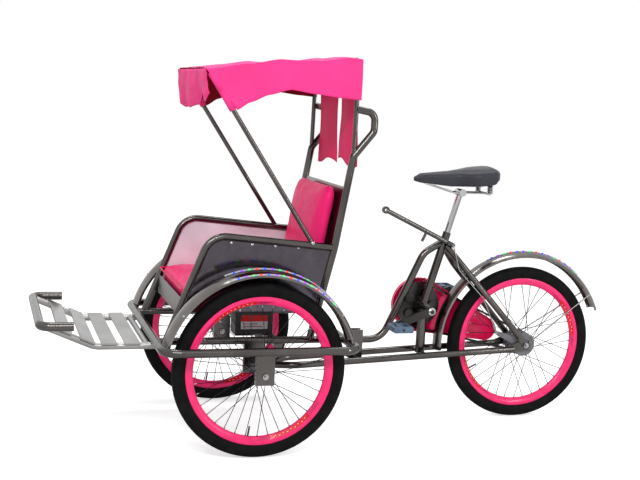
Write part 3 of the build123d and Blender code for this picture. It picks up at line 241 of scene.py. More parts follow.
def plastic(name, colour, roughness=0.45):
    """Moulded plastic with a spark-eroded grain and scuffs."""
    s = Shade(name, colour, roughness=roughness)
    scuff = s.noise(45, 7)
    s.feed("Base Color", s.ramp(scuff, [(0.35, tint(colour, 0.8)), (0.75, tint(colour, 1.35))]))
    s.bump(s.noise(700, 2), 0.2, 0.0005)
    s.feed("Roughness", s.range(scuff, roughness * 0.8, roughness * 1.3))
    return s.material


M = {
    # Tubes: the darkened steel colour, a painted dark reflection.
    "steel": polished_steel("polished_stainless", STEEL_PAINTED_DARK, 0.17),
    # A lighter copy of the same steel, as painted highlight on the fenders and back board.
    "sheet": polished_steel("stainless_sheet_painted_highlight", tint(STEEL_PAINTED_DARK, 1.9), 0.17),
    # Seat side sheets: a dark copy (painted shade and dark reflection) for the left and a pale copy (painted
    # light and reflection) for the right.
    "painted_dark_seat_sheet": polished_steel("seat_sheet_painted_dark_reflection", (0.115, 0.100, 0.120), 0.15),
    "panel": brushed_steel("seat_sheet_painted_light_reflection", (0.80, 0.80, 0.88), 0.5, (0.05, 1, 1), 0.35),
    "brushed": brushed_steel("brushed_stainless", (0.30, 0.295, 0.28), 0.36, (1, 0.05, 1)),
    "slat": brushed_steel("footboard_sheet", (0.36, 0.355, 0.35), 0.34, (1, 0.05, 1)),
    "plated": polished_steel("zinc_plated", (0.36, 0.36, 0.37), 0.2),
    "chrome": polished_steel("chrome_plate", (0.55, 0.55, 0.56), 0.08),
    "dark": polished_steel("dark_steel", (0.05, 0.048, 0.047), 0.3),
    "spoke": polished_steel("spoke_steel", (0.022, 0.022, 0.024), 0.35),
    "alloy": plastic("cast_alloy", (0.13, 0.128, 0.14), 0.42),
    "rim": paint("pink_rim", (1.0, 0.020, 0.18), 0.3),
    "case": paint("pink_enamel", (0.85, 0.006, 0.11), 0.25),
    "rubber": rubber("tyre_rubber"),
    "seat": vinyl("seat_vinyl", (1.0, 0.018, 0.19), 0.4),
    "piping": vinyl("seat_piping", (0.80, 0.008, 0.10), 0.4),
    "canopy": canopy_cloth("canopy_cloth", (1.0, 0.045, 0.26)),
    # A darker copy of the canopy cloth for its inner side, as painted shade.
    "painted_shade_cloth": canopy_cloth("canopy_cloth_painted_shade", CLOTH_PAINTED_SHADE),
    "curtain": canopy_cloth("curtain_cloth", (1.0, 0.022, 0.16)),
    "saddle": vinyl("saddle_vinyl", (0.040, 0.042, 0.052), 0.36, 0.2),
    "black": plastic("black_plastic", (0.012, 0.012, 0.013)),
    "blue": plastic("pedal_plastic", (0.075, 0.125, 0.19)),
    "white": paint("white_film", (0.75, 0.75, 0.75), 0.35),
    "red": paint("red_film", (0.80, 0.002, 0.003), 0.35),
    "print": paint("dark_film", (0.20, 0.012, 0.03), 0.3),
    "clear": paint("clear_tube", (0.55, 0.56, 0.60), 0.12),
}
LED_COLOURS = {
    "green": (0.02, 0.75, 0.16),
    "violet": (0.30, 0.04, 0.95),
    "blue": (0.04, 0.07, 0.95),
    "red": (0.95, 0.03, 0.03),
}
for colour_name, colour in LED_COLOURS.items():
    led = Shade(f"led_{colour_name}", colour, roughness=0.25)
    led.set("Emission Color", (*colour, 1))
    led.set("Emission Strength", 0.9)
    M[f"led_{colour_name}"] = led.material

NODE_LOOKS = {
    "steel": "base_bows base_rails seat_frame front_bumper rear_bow left_back_post right_back_post "
    "canopy_hoop lower_frame upper_frame seat_stays brake_lever",
    # The fenders and back board take the lighter copy of the steel, a painted highlight.
    "sheet": "left_front_fender right_front_fender rear_fender back_board",
    "brushed": "seat_pan",
    "slat": "footboard",
    "plated": "left_front_axle right_front_axle rear_axle brake_rod",
    "chrome": "saddle_post",
    "dark": "chain crank_set",
    "alloy": "brake_plate",
    "case": "chain_case",
    "black": "battery",
    "blue": "left_pedal right_pedal",
    "rim": "left_front_rim right_front_rim rear_rim",
}
for look, names in NODE_LOOKS.items():
    for name in names.split():
        mesh = NODES[name].data
        mesh.materials.clear()
        mesh.materials.append(M[look])

# Each seat side is tube and sheet in one node: only the faces in the sheet's plane get the sheet's look. The
# two sheets are one stainless painted as shaded and lit copies: the left one dark as painted shade and
# reflection, the right one pale as painted light and reflection.
for name, look in (("left_seat_side", "painted_dark_seat_sheet"), ("right_seat_side", "panel")):
    mesh = NODES[name].data
    mesh.materials.clear()
    mesh.materials.append(M["steel"])
    mesh.materials.append(M[look])
    facing = [face for face in mesh.polygons if abs(face.normal.y) > 0.999]
    plane = sum(face.center.y * face.area for face in facing) / sum(face.area for face in facing)
    for face in facing:
        if abs(face.center.y - plane) < 0.003:
            face.material_index = 1


# Shapes that pieces are made of
def lathe(name, centre, profile, material, segments=96):
    """A closed (across, radius) outline turned about a wheel's axis."""
    points = []
    faces = []
    count = len(profile)
    for i in range(segments):
        angle = 2 * math.pi * i / segments
        for u, r in profile:
            points.append(centre + Vector((r * math.cos(angle), u, r * math.sin(angle))))
    for i in range(segments):
        for j in range(count):
            a, b = i * count + j, i * count + (j + 1) % count
            c, d = ((i + 1) % segments) * count + (j + 1) % count, ((i + 1) % segments) * count + j
            faces.append((a, b, c, d))
    return mesh_piece(name, points, faces, material)


def rods(name, spans, radius, material, sides=8):
    """Straight round rods between pairs of points, as one mesh."""
    points = []
    faces = []
    for start, end in spans:
        way = (end - start).normalized()
        first = way.orthogonal().normalized()
        second = way.cross(first)
        base = len(points)
        for at in (start, end):
            for k in range(sides):
                angle = 2 * math.pi * k / sides
                points.append(at + radius * (math.cos(angle) * first + math.sin(angle) * second))
        for k in range(sides):
            n = (k + 1) % sides
            faces.append((base + k, base + n, base + sides + n, base + sides + k))
        faces.append(tuple(base + k for k in reversed(range(sides))))
        faces.append(tuple(base + sides + k for k in range(sides)))
    return mesh_piece(name, points, faces, material)


def wire(name, points, radius, material, closed=False, resolution=3):
    """A bent wire or tube as a curve along smooth points."""
    data = bpy.data.curves.new(name, "CURVE")
    data.dimensions = "3D"
    data.bevel_depth = radius
    data.bevel_resolution = resolution
    data.use_fill_caps = True
    spline = data.splines.new("NURBS")
    spline.points.add(len(points) - 1)
    for spot, p in zip(spline.points, points):
        spot.co = (*p, 1)
    spline.order_u = 3
    spline.use_endpoint_u = not closed
    spline.use_cyclic_u = closed
    data.materials.append(material)
    return collection_add(bpy.data.objects.new(name, data))


def grid(name, rows, material, wrap=False):
    """A mesh skin over equal rows of points."""
    width = len(rows[0])
    points = [p for row in rows for p in row]
    faces = []
    for i in range(len(rows) - 1):
        for j in range(width if wrap else width - 1):
            n = (j + 1) % width
            faces.append((i * width + j, i * width + n, (i + 1) * width + n, (i + 1) * width + j))
    return mesh_piece(name, points, faces, material)


def thicken(piece, thickness):
    """Gives a skin a thickness."""
    solid = piece.modifiers.new("thickness", "SOLIDIFY")
    solid.thickness = thickness
    solid.offset = 0.0
    return apply_modifiers(piece)


def with_painted_shade_inside(piece, thickness):
    """Gives a cloth a thickness, with a darker copy of the cloth on its inner side as painted shade."""
    outer = piece.data.materials[0]
    piece.data.materials.clear()
    piece.data.materials.append(M["painted_shade_cloth"])
    piece.data.materials.append(outer)
    solid = piece.modifiers.new("thickness", "SOLIDIFY")
    solid.thickness = thickness
    solid.offset = 0.0
    solid.material_offset = 1
    return apply_modifiers(piece)


def polar(centre, radius, degrees, y=0.0):
    """A point round an axle; 0 degrees points to the rear and 90 up."""
    angle = math.radians(degrees)
    return Vector((centre.x + radius * math.cos(angle), centre.y + y, centre.z + radius * math.sin(angle)))


# Wheels: round tyres, spokes laced through the flanges with nipples, valve and rim bands
RIM_SIDE = ((0.0155, 0.2675), (0.0066, 0.2515))
RIM_BANDS = {True: (114, 300), False: (25, 211)}
COG_TEETH = 22
SPOKES = 36
SPOKE_SWEEP = 60
SPOKE_R = 0.0014
NIPPLE_R = 0.0024

# Flange radius, flange's distance from the middle, half width and barrel radius
FRONT_HUB = (0.027, 0.033, 0.048, 0.017)
REAR_HUB = (0.052, 0.027, 0.054, 0.022)


def dress_wheel(wheel):
    """The looks of one wheel, over its CAD tyre, rim and hub."""
    body = f"{wheel}_wheel"
    hub = HUB[wheel]
    front = wheel != "rear"
    half = [(0.0102, 0.2703), (0.0143, 0.2812), (0.0190, 0.2860), (0.0232, 0.2960), (0.0248, 0.3050)]
    half += [(0.0238, 0.3140), (0.0205, 0.3215), (0.0150, 0.3264), (0.0122, 0.3275), (0.0112, 0.3268)]
    half += [(0.0102, 0.3283), (0.0052, 0.3296), (0.0042, 0.3288), (0.0032, 0.3299)]
    outline = half + [(-u, r) for u, r in reversed(half)]
    tyre = lathe(f"{wheel}_tyre_skin", hub, outline, M["rubber"], 128)
    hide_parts(f"{wheel}_tyre")
    rim_half = [(0.0100, 0.2700), (0.0144, 0.2808), (0.0150, 0.2813), (0.0155, 0.2803), (0.0155, 0.2680)]
    rim_half += [(0.0118, 0.2610), (0.0074, 0.2530), (0.0045, 0.2510)]
    rim = lathe(f"{wheel}_rim_shell", hub, rim_half + [(-u, r) for u, r in reversed(rim_half)], M["rim"], 128)
    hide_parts(f"{wheel}_rim")
    flange_r, flange_at, hub_half, core = FRONT_HUB if front else REAR_HUB
    shell = [(0.0, core - 0.003), (flange_at - 0.006, core), (flange_at - 0.003, flange_r)]
    shell += [(flange_at + 0.003, flange_r), (flange_at + 0.004, core + 0.003)]
    shell += [(hub_half - 0.002, core - 0.001), (hub_half, core - 0.004), (hub_half, 0.0065)]
    shell += [(-u, r) for u, r in reversed(shell[1:])]
    barrel = lathe(f"{wheel}_hub_shell", hub, shell, M["alloy"], 48)
    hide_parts(f"{wheel}_hub")
    spans = []
    nipples = []
    for i in range(SPOKES):
        side = LEFT if i % 2 else RIGHT
        trailing = (i // 2) % 2
        at_rim = 360.0 / SPOKES * i
        at_hub = at_rim + (SPOKE_SWEEP if trailing else -SPOKE_SWEEP)
        level = side * (flange_at + (0.0036 if trailing else -0.0036))
        start = polar(hub, flange_r - 0.005, at_hub, level)
        end = polar(hub, 0.2512, at_rim, side * 0.0026)
        spans.append((start, end))
        nipples.append((end + (start - end).normalized() * 0.014, end))
    spokes = rods(f"{wheel}_spokes", spans, SPOKE_R, M["spoke"], 6)
    heads = rods(f"{wheel}_nipples", nipples, NIPPLE_R, M["plated"], 6)
    at = 262 if front else 207
    stem = [polar(hub, r, at) for r in (0.251, 0.235, 0.222, 0.214)]
    valve = wire(f"{wheel}_valve", stem, 0.0035, M["black"])
    pieces = [tyre, rim, barrel, spokes, heads, valve]
    if not front:
        teeth = []
        for k in range(COG_TEETH * 2):
            teeth.append((0.0352 if k % 2 else 0.0397, 360.0 * k / COG_TEETH / 2))
        count = len(teeth)
        points = [polar(hub, r, a, y) for y in (0.0417, 0.0443) for r, a in teeth]
        faces = [tuple(range(count)), tuple(reversed(range(count, 2 * count)))]
        faces += [(k, count + k, count + (k + 1) % count, (k + 1) % count) for k in range(count)]
        pieces.append(mesh_piece("rear_cog", points, faces, M["dark"], smooth=False))
    for side in SIDES.values():
        for middle in RIM_BANDS[front]:
            pieces += rim_band(f"{wheel}_band_{middle}_{'left' if side < 0 else 'right'}", hub, side, middle)
    for piece in pieces:
        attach(piece, body)


def rim_patch(name, hub, side, low_deg, high_deg, low, high, material, lift=0.0004):
    """A thin film on a rim's sloping side between two angles and two shares of its width."""
    rows = []
    steps = max(2, int((high_deg - low_deg) / 2))
    for i in range(steps + 1):
        angle = low_deg + (high_deg - low_deg) * i / steps
        row = []
        for share in (low, high):
            u = RIM_SIDE[0][0] + (RIM_SIDE[1][0] - RIM_SIDE[0][0]) * share + lift
            r = RIM_SIDE[0][1] + (RIM_SIDE[1][1] - RIM_SIDE[0][1]) * share - lift
            row.append(polar(hub, r, angle, side * u))
        rows.append(row)
    return grid(name, rows, material)


def rim_band(name, hub, side, middle):
    """A plain decorated band on one side of a rim: a red field with dots, and hatched ends."""
    parts = [rim_patch(f"{name}_field", hub, side, middle - 19, middle + 19, 0.10, 0.86, M["red"], 0.0005)]
    for k in range(9):
        at = middle - 15 + 3.6 * k
        low = 0.34 if k % 2 else 0.52
        dot = rim_patch(f"{name}_dot{k}", hub, side, at, at + 1.1, low, low + 0.14, M["white"], 0.0009)
        parts.append(dot)
    for end, start in enumerate((-32, 19.5)):
        for k in range(3):
            low = 0.24 + 0.22 * k
            first = middle + start + (2 * k if end == 0 else 0)
            last = middle + start + (12.5 if end == 0 else 12.5 - 2 * k)
            label = f"{name}_hatch{end}{k}"
            parts.append(rim_patch(label, hub, side, first, last, low, low + 0.07, M["print"], 0.0005))
    return parts


for wheel in HUB:
    dress_wheel(wheel)

# Canopy: one continuous cloth over both hoops, with a front flap and hanging sides
FRONT_X = AXLE - 0.2195
HALF = 0.3015
EDGE_DROP = 0.006
SEAM_X = 0.103
ROOF = [(-0.2195, 1.4345), (-0.05, 1.462), (0.066, 1.483), (0.10, 1.4825), (0.22, 1.486)]
ROOF += [(0.33, 1.503), (0.3785, 1.500)]
HEM = [(-0.10, 1.286), (-0.05, 1.316), (0.02, 1.346), (0.105, 1.369), (0.20, 1.357)]
HEM += [(0.30, 1.347), (0.3785, 1.342)]


def along(line, x):
    """The height of a line of (behind the axle, height) points, smoothed between them."""
    for (x0, z0), (x1, z1) in zip(line, line[1:]):
        if x <= x1:
            t = max(0.0, (x - x0) / (x1 - x0))
            t = t * t * (3 - 2 * t) * 0.5 + t * 0.5
            return z0 + (z1 - z0) * t
    return line[-1][1]


def side_point(side, u, t):
    """A point of a hanging side: u from front to rear, t from the roof's edge to the hem."""
    top = ROOF[0][0] + (ROOF[-1][0] - ROOF[0][0]) * u
    low = HEM[0][0] + (HEM[-1][0] - HEM[0][0]) * u
    x = top + (low - top) * t
    z = along(ROOF, top) - EDGE_DROP + (along(HEM, low) - along(ROOF, top) + EDGE_DROP) * t
    ripple = 0.004 * t * math.sin(15 * u + 1.5 * side) * math.sin(math.pi * u)
    crease = noise.noise(Vector((x * 8, z * 7, side * 4.0))) * 0.004 * min(1, 3 * t)
    pull = 0.003 * math.sin(9 * (x + 1.4 * z)) * t
    seam = -0.003 * math.exp(-((x - SEAM_X) / 0.004) ** 2)
    out = HALF - 0.003 + 0.003 * math.sin(math.pi * t) + ripple + crease + pull + seam
    return Vector((AXLE + x, side * out, z))


def roof_point(u, v):
    """A point of the roof: v from -1 at the left edge to 1 at the right."""
    x = ROOF[0][0] + (ROOF[-1][0] - ROOF[0][0]) * u
    sag = 0.016 * (1 - v * v) * math.sin(math.pi * u) ** 2
    edge = EDGE_DROP * abs(v) ** 9
    fold = 0.003 * noise.noise(Vector((x * 8, v * 3, 1.0)))
    return Vector((AXLE + x, v * (HALF - 0.003), along(ROOF, x) - sag - edge + fold))


rows = []
STEPS_U, STEPS_V, STEPS_T = 72, 36, 16
for i in range(STEPS_U + 1):
    u = i / STEPS_U
    row = [side_point(LEFT, u, t / STEPS_T) for t in range(STEPS_T, 0, -1)]
    row += [roof_point(u, -1 + 2 * j / STEPS_V) for j in range(STEPS_V + 1)]
    row += [side_point(RIGHT, u, t / STEPS_T) for t in range(1, STEPS_T + 1)]
    rows.append(row)
cover = with_painted_shade_inside(grid("canopy_cloth_cover", rows, M["canopy"]), 0.0024)
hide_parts("canopy_cover")
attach(cover, "carriage")

FLAP_DROP = [(-0.30, 0.088), (-0.25, 0.120), (-0.19, 0.116), (-0.13, 0.082), (-0.05, 0.135)]
FLAP_DROP += [(0.06, 0.150), (0.16, 0.148), (0.24, 0.152), (0.30, 0.140)]
rows = []
for j in range(61):
    y = -HALF + 2 * HALF * j / 60
    drop = along([(a * HALF / 0.30, b) for a, b in FLAP_DROP], y)
    row = []
    for t in range(15):
        s = t / 14
        fold = 0.009 * math.sin(22 * y + 0.4) * s + 0.006 * noise.noise(Vector((y * 12, s * 3, 0)))
        lean = 0.020 * s
        x = FRONT_X - 0.001 + lean - fold - 0.004 * math.sin(math.pi * s)
        row.append(Vector((x, y, ROOF[0][1] - 0.004 - drop * s)))
    rows.append(row)
flap = with_painted_shade_inside(grid("canopy_front_flap", rows, M["canopy"]), 0.0024)
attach(flap, "carriage")
HOOP_LEG = ((-0.2035, 1.4180), (-0.16, 1.3560), (-0.1135, 1.2850))
HOOP_LEG_Y = 0.2905
for name, side in SIDES.items():
    leg = [Vector((AXLE + x, side * HOOP_LEG_Y, z)) for x, z in HOOP_LEG]
    sleeve = rods(f"canopy_{name}_sleeve", list(zip(leg, leg[1:])), 0.0128, M["canopy"], 20)
    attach(sleeve, "carriage")

# Rear curtain: two flaps hung on the bow, the near one with a corner turned over at its top
CURTAIN_X = AXLE + 0.378
CURTAIN_TOP = 1.485
FLAPS = {"right": (0.004, 0.267, 1.085, 0.012), "left": (-0.262, -0.015, 1.095, 0.016)}
for name, (low, high, bottom, gather) in FLAPS.items():
    rows = []
    for i in range(41):
        s = i / 40
        z = CURTAIN_TOP + (bottom - CURTAIN_TOP) * s
        row = []
        for j in range(25):
            v = j / 24
            pull = gather * math.sin(math.pi * s) ** 2
            y = low + pull + (high - low - 2 * pull) * v
            wave = 0.005 * s * math.sin(6.5 * v + 2 * s) + 0.003 * noise.noise(Vector((y * 9, z * 7, 2)))
            row.append(Vector((CURTAIN_X + 0.006 + wave, y, z + 0.014 * s * math.sin(5 * v + low * 10))))
        rows.append(row)
    part = thicken(grid(f"curtain_{name}", rows, M["curtain"]), 0.002)
    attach(part, "carriage")
    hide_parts("rear_curtain")
    if name == "left":
        rows = []
        for i in range(13):
            s = i / 12
            reach = (high - low - 0.02) * (1 - 0.9 * s)
            middle = low + 0.006 + 0.03 * s
            front = CURTAIN_X - 0.004 - 0.004 * math.sin(math.pi * s)
            drop = CURTAIN_TOP - 0.003 - 0.11 * s
            rows.append([Vector((front, middle + reach * j / 10, drop)) for j in range(11)])
        fold = thicken(grid("curtain_left_turned", rows, M["canopy"]), 0.002)
        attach(fold, "carriage")


# Cushions: a crowned pad, filled by a short cloth simulation, with a piped seam
def rounded(a, b, size, radius):
    """A point of a rectangle's face, with its four corners rounded; a and b run from -1 to 1."""
    x, y = a * size.x, b * size.y
    over_x = abs(x) - (size.x - radius)
    over_y = abs(y) - (size.y - radius)
    if over_x > 0 and over_y > 0:
        scale = max(over_x, over_y) / math.hypot(over_x, over_y)
        x = math.copysign(size.x - radius + over_x * scale, x)
        y = math.copysign(size.y - radius + over_y * scale, y)
    return x, y


def piping(name, middle, size, radius, level, place):
    """A piped seam round a pad at one level of its thickness."""
    loop = []
    for k in range(4):
        centre = Vector(((size.x - radius) * (1, -1, -1, 1)[k], (size.y - radius) * (1, 1, -1, -1)[k], level))
        for step in range(9):
            angle = math.radians(90 * k + 90 * step / 8)
            loop.append(centre + Vector((radius * math.cos(angle), radius * math.sin(angle), 0)))
        ahead = ((-1, 0), (0, -1), (1, 0), (0, 1))[k]
        span = 2 * ((size.x - radius) if ahead[0] else (size.y - radius))
        for step in range(1, 12):
            loop.append(loop[9 * (k + 1) + 11 * k - 1] + Vector((*ahead, 0)) * span * step / 12)
    turn = Matrix.Translation(middle) @ place
    seam = wire(name, [turn @ p for p in loop], 0.0034, M["piping"], closed=True)
    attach(seam, "carriage")


def cushion(name, low, high, crown, turn=None, corner=0.014, cap=0.010):
    """A padded block between two corners, filled with air, then turned into place."""
    middle = (low + high) / 2
    size = (high - low) / 2
    count = 28
    points = []
    faces = []
    index = {}

    def spot(a, b, c):
        key = (round(a, 4), round(b, 4), round(c, 4))
        if key not in index:
            index[key] = len(points)
            bulge = crown * (1 - a ** 4) * (1 - b ** 4) * (1 if c > 0 else 0.15)
            level = c * (size.z - crown) + (bulge if c > 0.99 else 0)
            points.append(Vector((*rounded(a, b, size, corner), level)))
        return index[key]

    ticks = [-1 + 2 * k / count for k in range(count + 1)]
    levels = [-1, -0.5, 0, 0.5, 1]
    for c in (-1, 1):
        for a0, a1 in zip(ticks, ticks[1:]):
            for b0, b1 in zip(ticks, ticks[1:]):
                quad = (spot(a0, b0, c), spot(a1, b0, c), spot(a1, b1, c), spot(a0, b1, c))
                faces.append(quad if c > 0 else quad[::-1])
    for c0, c1 in zip(levels, levels[1:]):
        for fixed in (-1, 1):
            for a0, a1 in zip(ticks, ticks[1:]):
                quad = (spot(a0, fixed, c0), spot(a1, fixed, c0), spot(a1, fixed, c1), spot(a0, fixed, c1))
                faces.append(quad if fixed < 0 else quad[::-1])
                quad = (spot(fixed, a0, c0), spot(fixed, a0, c1), spot(fixed, a1, c1), spot(fixed, a1, c0))
                faces.append(quad if fixed < 0 else quad[::-1])
    piece = mesh_piece(name, points, faces, M["seat"])
    bevel = piece.modifiers.new("round", "BEVEL")
    bevel.width = 0.012
    bevel.segments = 4
    bevel.limit_method = "ANGLE"
    bevel.angle_limit = math.radians(50)
    apply_modifiers(piece)
    puff(piece, 0.009, cap, 20)
    place = turn or Matrix.Identity(4)
    piece.data.transform(Matrix.Translation(middle) @ place)
    return piece


def puff(piece, voxel, cap, frames):
    """Fills a closed form with air pressure, and limits how far each point may move."""
    remesh = piece.modifiers.new("remesh", "REMESH")
    remesh.mode = "VOXEL"
    remesh.voxel_size = voxel
    apply_modifiers(piece)
    before = [v.co.copy() for v in piece.data.vertices]
    cloth = piece.modifiers.new("cloth", "CLOTH")
    cloth.settings.use_pressure = True
    cloth.settings.uniform_pressure_force = 4.0
    cloth.settings.effector_weights.gravity = 0.0
    for tick in range(1, frames + 1):
        bpy.context.scene.frame_set(tick)
    apply_modifiers(piece)
    for vertex, start in zip(piece.data.vertices, before):
        shift = vertex.co - start
        if shift.length > cap:
            vertex.co = start + shift.normalized() * cap
    smooth = piece.modifiers.new("smooth", "SMOOTH")
    smooth.iterations = 6
    apply_modifiers(piece)
    piece.data.polygons.foreach_set("use_smooth", [True] * len(piece.data.polygons))
    piece.data.update()


low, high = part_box("seat_cushion")
seat_low, seat_high = low + Vector((0.004, 0.004, 0.0)), high - Vector((0.004, 0.004, 0.004))
seat = cushion("seat_pad", seat_low, seat_high, 0.016, corner=0.022)
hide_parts("seat_cushion")
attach(seat, "carriage")
seat_half = (seat_high - seat_low) / 2 + Vector((0.006, 0.006, 0))
piping("seat_piping", (seat_low + seat_high) / 2, seat_half, 0.026, 0.024, Matrix.Identity(4))

low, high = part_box("back_cushion")
LEAN = math.atan2(0.057, 0.352)
BACK_SIZE = Vector((0.372, 0.466, 0.064))
back_middle = (low + high) / 2
lean_turn = Matrix.Rotation(LEAN, 4, "Y") @ Matrix.Rotation(-math.pi / 2, 4, "Y")
back_low = back_middle - BACK_SIZE / 2
back_high = back_middle + BACK_SIZE / 2
back = cushion("back_pad", back_low, back_high, 0.016, lean_turn, corner=0.05)
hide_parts("back_cushion")
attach(back, "carriage")

# Saddle: arched sections close to those of the CAD saddle, joined smoothly
low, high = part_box("saddle")
SADDLE_LEVEL = high.z - 0.072
SADDLE_SECTIONS = (
    (0.00, 0.014, 0.006, 0.026),
    (0.07, 0.024, 0.000, 0.040),
    (0.45, 0.044, -0.012, 0.054),
    (0.76, 0.108, -0.008, 0.072),
    (0.93, 0.112, 0.000, 0.078),
    (1.00, 0.086, 0.016, 0.070),
)


def saddle_at(share):
    """Half width, underside and top of the saddle at a share of its length."""
    for before, after in zip(SADDLE_SECTIONS, SADDLE_SECTIONS[1:]):
        if share <= after[0]:
            t = (share - before[0]) / (after[0] - before[0])
            smooth = t * t * (3 - 2 * t)
            shares = (smooth, t, t)
            return [a + (b - a) * share for a, b, share in zip(before[1:], after[1:], shares)]
    return SADDLE_SECTIONS[-1][1:]


rows = []
SADDLE_STEPS = 44
for i in range(-3, SADDLE_STEPS + 4):
    share = min(1.0, max(0.0, i / SADDLE_STEPS))
    half, under, top = saddle_at(share)
    past = max(0, -i, i - SADDLE_STEPS) / 3
    shrink = math.sqrt(max(0.0004, 1 - past * past))
    middle = (under + top) / 2
    row = []
    for k in range(36):
        a = 2 * math.pi * k / 36
        c, n = math.cos(a), math.sin(a)
        y = half * shrink * math.copysign(abs(c) ** 0.55, c)
        if n >= 0:
            arch = 1 - (abs(y) / max(half, 0.001)) ** 2.2
            z = middle + (top - middle) * (0.35 * n ** 0.5 + 0.65 * max(0.0, arch) ** 0.5) * shrink
        else:
            z = middle + (middle - under) * -(abs(n) ** 0.4) * shrink
        x = low.x + (high.x - low.x) * share + (0.004 * past if i > 0 else -0.004 * past)
        row.append(Vector((x, y, SADDLE_LEVEL + z)))
    rows.append(row)
pad = grid("saddle_pad", rows, M["saddle"], wrap=True)
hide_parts("saddle")
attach(pad, "cycle_frame")


# Light strips along the fenders: a clear tube with coloured dots
def light_strip(name, hub, radius, y, low_deg, high_deg, body, spacing=4.4):
    """A tube of small lamps round a fender between two angles."""
    arc = [polar(hub, radius, low_deg + (high_deg - low_deg) * k / 24, y) for k in range(25)]
    parts = [wire(f"{name}_tube", arc, 0.0028, M["clear"])]
    colours = list(LED_COLOURS)
    count = int((high_deg - low_deg) / spacing)
    for colour_index, colour in enumerate(colours):
        spans = []
        for k in range(colour_index, count, len(colours)):
            at = low_deg + spacing * (k + 0.5)
            spans.append((polar(hub, radius, at, y), polar(hub, radius, at + 1.3, y)))
        parts.append(rods(f"{name}_{colour}", spans, 0.0036, M[f"led_{colour}"], 8))
    for part in parts:
        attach(part, body)


for name, side in SIDES.items():
    for edge, radius, across in (("inner", 0.3805, -0.020), ("outer", 0.3695, 0.0472)):
        light_strip(f"{name}_{edge}_lights", HUB[f"{name}_front"], radius, side * across, 42, 112, "carriage")
light_strip("rear_lights", HUB["rear"], 0.3975, 0.0, 48, 116, "cycle_frame")


# Small fastenings that the CAD leaves to this script
def screw(name, place, way, radius, height, material, body, sides=20):
    """A domed fastener head standing on a surface."""
    way = Vector(way).normalized()
    head = rods(name, [(Vector(place), Vector(place) + way * height)], radius, material, sides)
    bevel = head.modifiers.new("round", "BEVEL")
    bevel.width = min(radius, height) * 0.45
    bevel.segments = 2
    bevel.limit_method = "ANGLE"
    apply_modifiers(head)
    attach(head, body)
    return head


def panel(name, low, high, material, body):
    """A thin flat rectangle between two corners, in the plane that they share."""
    flat = [k for k in range(3) if abs(high[k] - low[k]) < 1e-6][0]
    a, b = [k for k in range(3) if k != flat]
    corners = []
    for u, v in ((0, 0), (1, 0), (1, 1), (0, 1)):
        spot = list(low)
        spot[a] = (low, high)[u][a]
        spot[b] = (low, high)[v][b]
        corners.append(spot)
    piece = mesh_piece(name, corners, [(0, 1, 2, 3)], material, smooth=False)
    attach(piece, body)
    return piece


# Battery label without lettering: a red head over a pale field with plain bars
low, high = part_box("battery")
for end, y in (("near", low.y - 0.0004), ("far", high.y + 0.0004)):
    left, right, foot, top = low.x + 0.022, high.x - 0.022, low.z + 0.020, high.z - 0.012
    head = foot + 0.55 * (top - foot)
    panel(f"battery_{end}_head", (left, y, head), (right, y, top), M["red"], "carriage")
    panel(f"battery_{end}_field", (left, y, foot), (right, y, head), M["white"], "carriage")
    lift = y + (-0.0003 if end == "near" else 0.0003)
    for k in range(2):
        z = foot + 0.008 + 0.011 * k
        bar_low = (left + 0.008, lift, z)
        bar_high = (right - 0.02 - 0.02 * k, lift, z + 0.003)
        panel(f"battery_{end}_bar{k}", bar_low, bar_high, M["print"], "carriage")

# Crank: a bright boss with a dark centre on each side
CRANK = Vector((AXLE + 0.800, 0, 0.486))
CRANK_CAPS = ((0.0165, 0, 0.003, "chrome"), (0.0085, 0.003, 0.007, "dark"))
CRANK_FACE = 0.107
for name, side in SIDES.items():
    face = CRANK_FACE * side
    for part, (radius, near, far, look) in enumerate(CRANK_CAPS):
        spans = [(CRANK + Vector((0, face + side * near, 0)), CRANK + Vector((0, face + side * far, 0)))]
        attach(rods(f"crank_{name}_cap{part}", spans, radius, M[look], 28), "crank")

RIVETS = ((-0.10, 0.792), (-0.02, 0.786), (0.07, 0.781), (0.16, 0.776))
RIVET_Y = 0.2922
FENDER_BOLTS = (-0.30, 0.30)
for name, side in SIDES.items():
    outward = (0, side, 0)
    for k, (back, up) in enumerate(RIVETS):
        spot = (AXLE + back, side * RIVET_Y, up)
        screw(f"{name}_panel_rivet{k}", spot, outward, 0.0045, 0.0025, M["chrome"], "carriage")
    foot = Vector((AXLE + 0.214, side * 0.300, 0.795))
    screw(f"{name}_hoop_bolt", foot, outward, 0.0085, 0.007, M["chrome"], "carriage", 6)
    for k, back in enumerate(FENDER_BOLTS):
        spot = (AXLE + back, side * 0.457, 0.548)
        screw(f"{name}_fender_bolt{k}", spot, outward, 0.0045, 0.003, M["chrome"], "carriage")

# Floor, world and lamps
floor = mesh_piece(
    "floor", [(-9, -9, 0), (9, -9, 0), (9, 9, 0), (-9, 9, 0)], [(0, 1, 2, 3)], smooth=False
)
floor_look = bpy.data.materials.new("floor")
floor_look.use_nodes = True
tree = floor_look.node_tree
diffuse = tree.nodes["Principled BSDF"]
diffuse.inputs["Base Color"].default_value = (0.86, 0.86, 0.86, 1)
diffuse.inputs["Roughness"].default_value = 0.9
seen_floor = tree.nodes.new("ShaderNodeLightPath")
glow = tree.nodes.new("ShaderNodeMath")
glow.operation = "MULTIPLY"
glow.inputs[1].default_value = 0.55
tree.links.new(seen_floor.outputs["Is Camera Ray"], glow.inputs[0])
tree.links.new(glow.outputs[0], diffuse.inputs["Emission Strength"])
diffuse.inputs["Emission Color"].default_value = (1, 1, 1, 1)
floor.data.materials.append(floor_look)

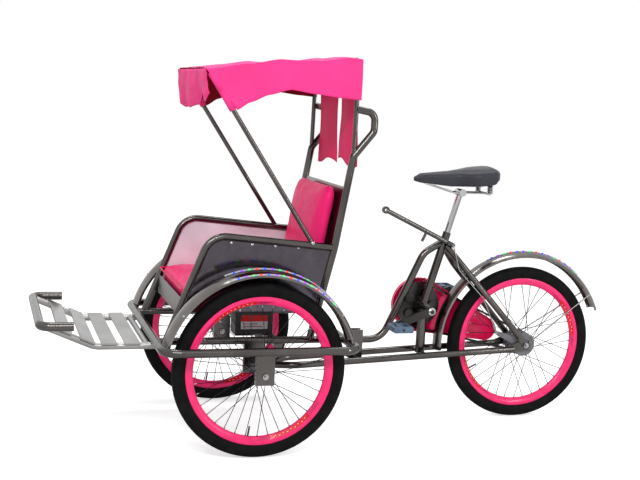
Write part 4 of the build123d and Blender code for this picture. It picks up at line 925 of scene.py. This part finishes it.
world = bpy.data.worlds.new("studio")
bpy.context.scene.world = world
world.use_nodes = True
sky = world.node_tree
background = sky.nodes["Background"]
rays = sky.nodes.new("ShaderNodeLightPath")
seen = sky.nodes.new("ShaderNodeMath")
seen.operation = "MAXIMUM"
sky.links.new(rays.outputs["Is Camera Ray"], seen.inputs[0])
sky.links.new(rays.outputs["Is Glossy Ray"], seen.inputs[1])
both = sky.nodes.new("ShaderNodeMath")
both.operation = "MAXIMUM"
sky.links.new(seen.outputs[0], both.inputs[0])
sky.links.new(rays.outputs["Is Transmission Ray"], both.inputs[1])
level = sky.nodes.new("ShaderNodeMapRange")
level.inputs["To Min"].default_value = 0.55
level.inputs["To Max"].default_value = 1.0
sky.links.new(both.outputs[0], level.inputs["Value"])
background.inputs["Color"].default_value = (1, 1, 1, 1)
sky.links.new(level.outputs["Result"], background.inputs["Strength"])


def lamp(name, place, aim, size, power):
    """A soft area lamp aimed at a point."""
    data = bpy.data.lights.new(name, "AREA")
    data.shape = "RECTANGLE"
    data.size, data.size_y = size
    data.energy = power
    obj = collection_add(bpy.data.objects.new(name, data))
    obj.location = place
    obj.rotation_euler = (Vector(aim) - Vector(place)).to_track_quat("-Z", "Y").to_euler()


lamp("key", (-1.6, -3.8, 3.4), (0, 0, 0.6), (3.4, 0.34), 100)
lamp("fill", (2.6, -3.2, 1.8), (0.2, 0, 0.6), (0.3, 2.2), 36)
lamp("top", (0.0, 0.6, 3.8), (0, 0, 0.5), (3.0, 0.5), 55)

# Camera at the photograph's viewpoint
away = Vector((math.sin(YAW) * math.cos(PITCH), math.cos(YAW) * math.cos(PITCH), -math.sin(PITCH)))
across = away.cross(Vector((0, 0, 1))).normalized()
upward = across.cross(away)
right = across * math.cos(ROLL) + upward * math.sin(ROLL)
up = upward * math.cos(ROLL) - across * math.sin(ROLL)
camera_data = bpy.data.cameras.new("camera")
camera_data.lens = LENS
camera_data.sensor_width = 36
camera_data.shift_x, camera_data.shift_y = SHIFT
camera = collection_add(bpy.data.objects.new("camera", camera_data))
turn = Matrix((right, up, -away)).transposed().to_4x4()
camera.matrix_world = Matrix.Translation((AXLE + CAMERA_BEHIND_AXLE, CAMERA_Y, CAMERA_Z)) @ turn
bpy.context.scene.camera = camera
bpy.context.scene.view_settings.view_transform = "Standard"
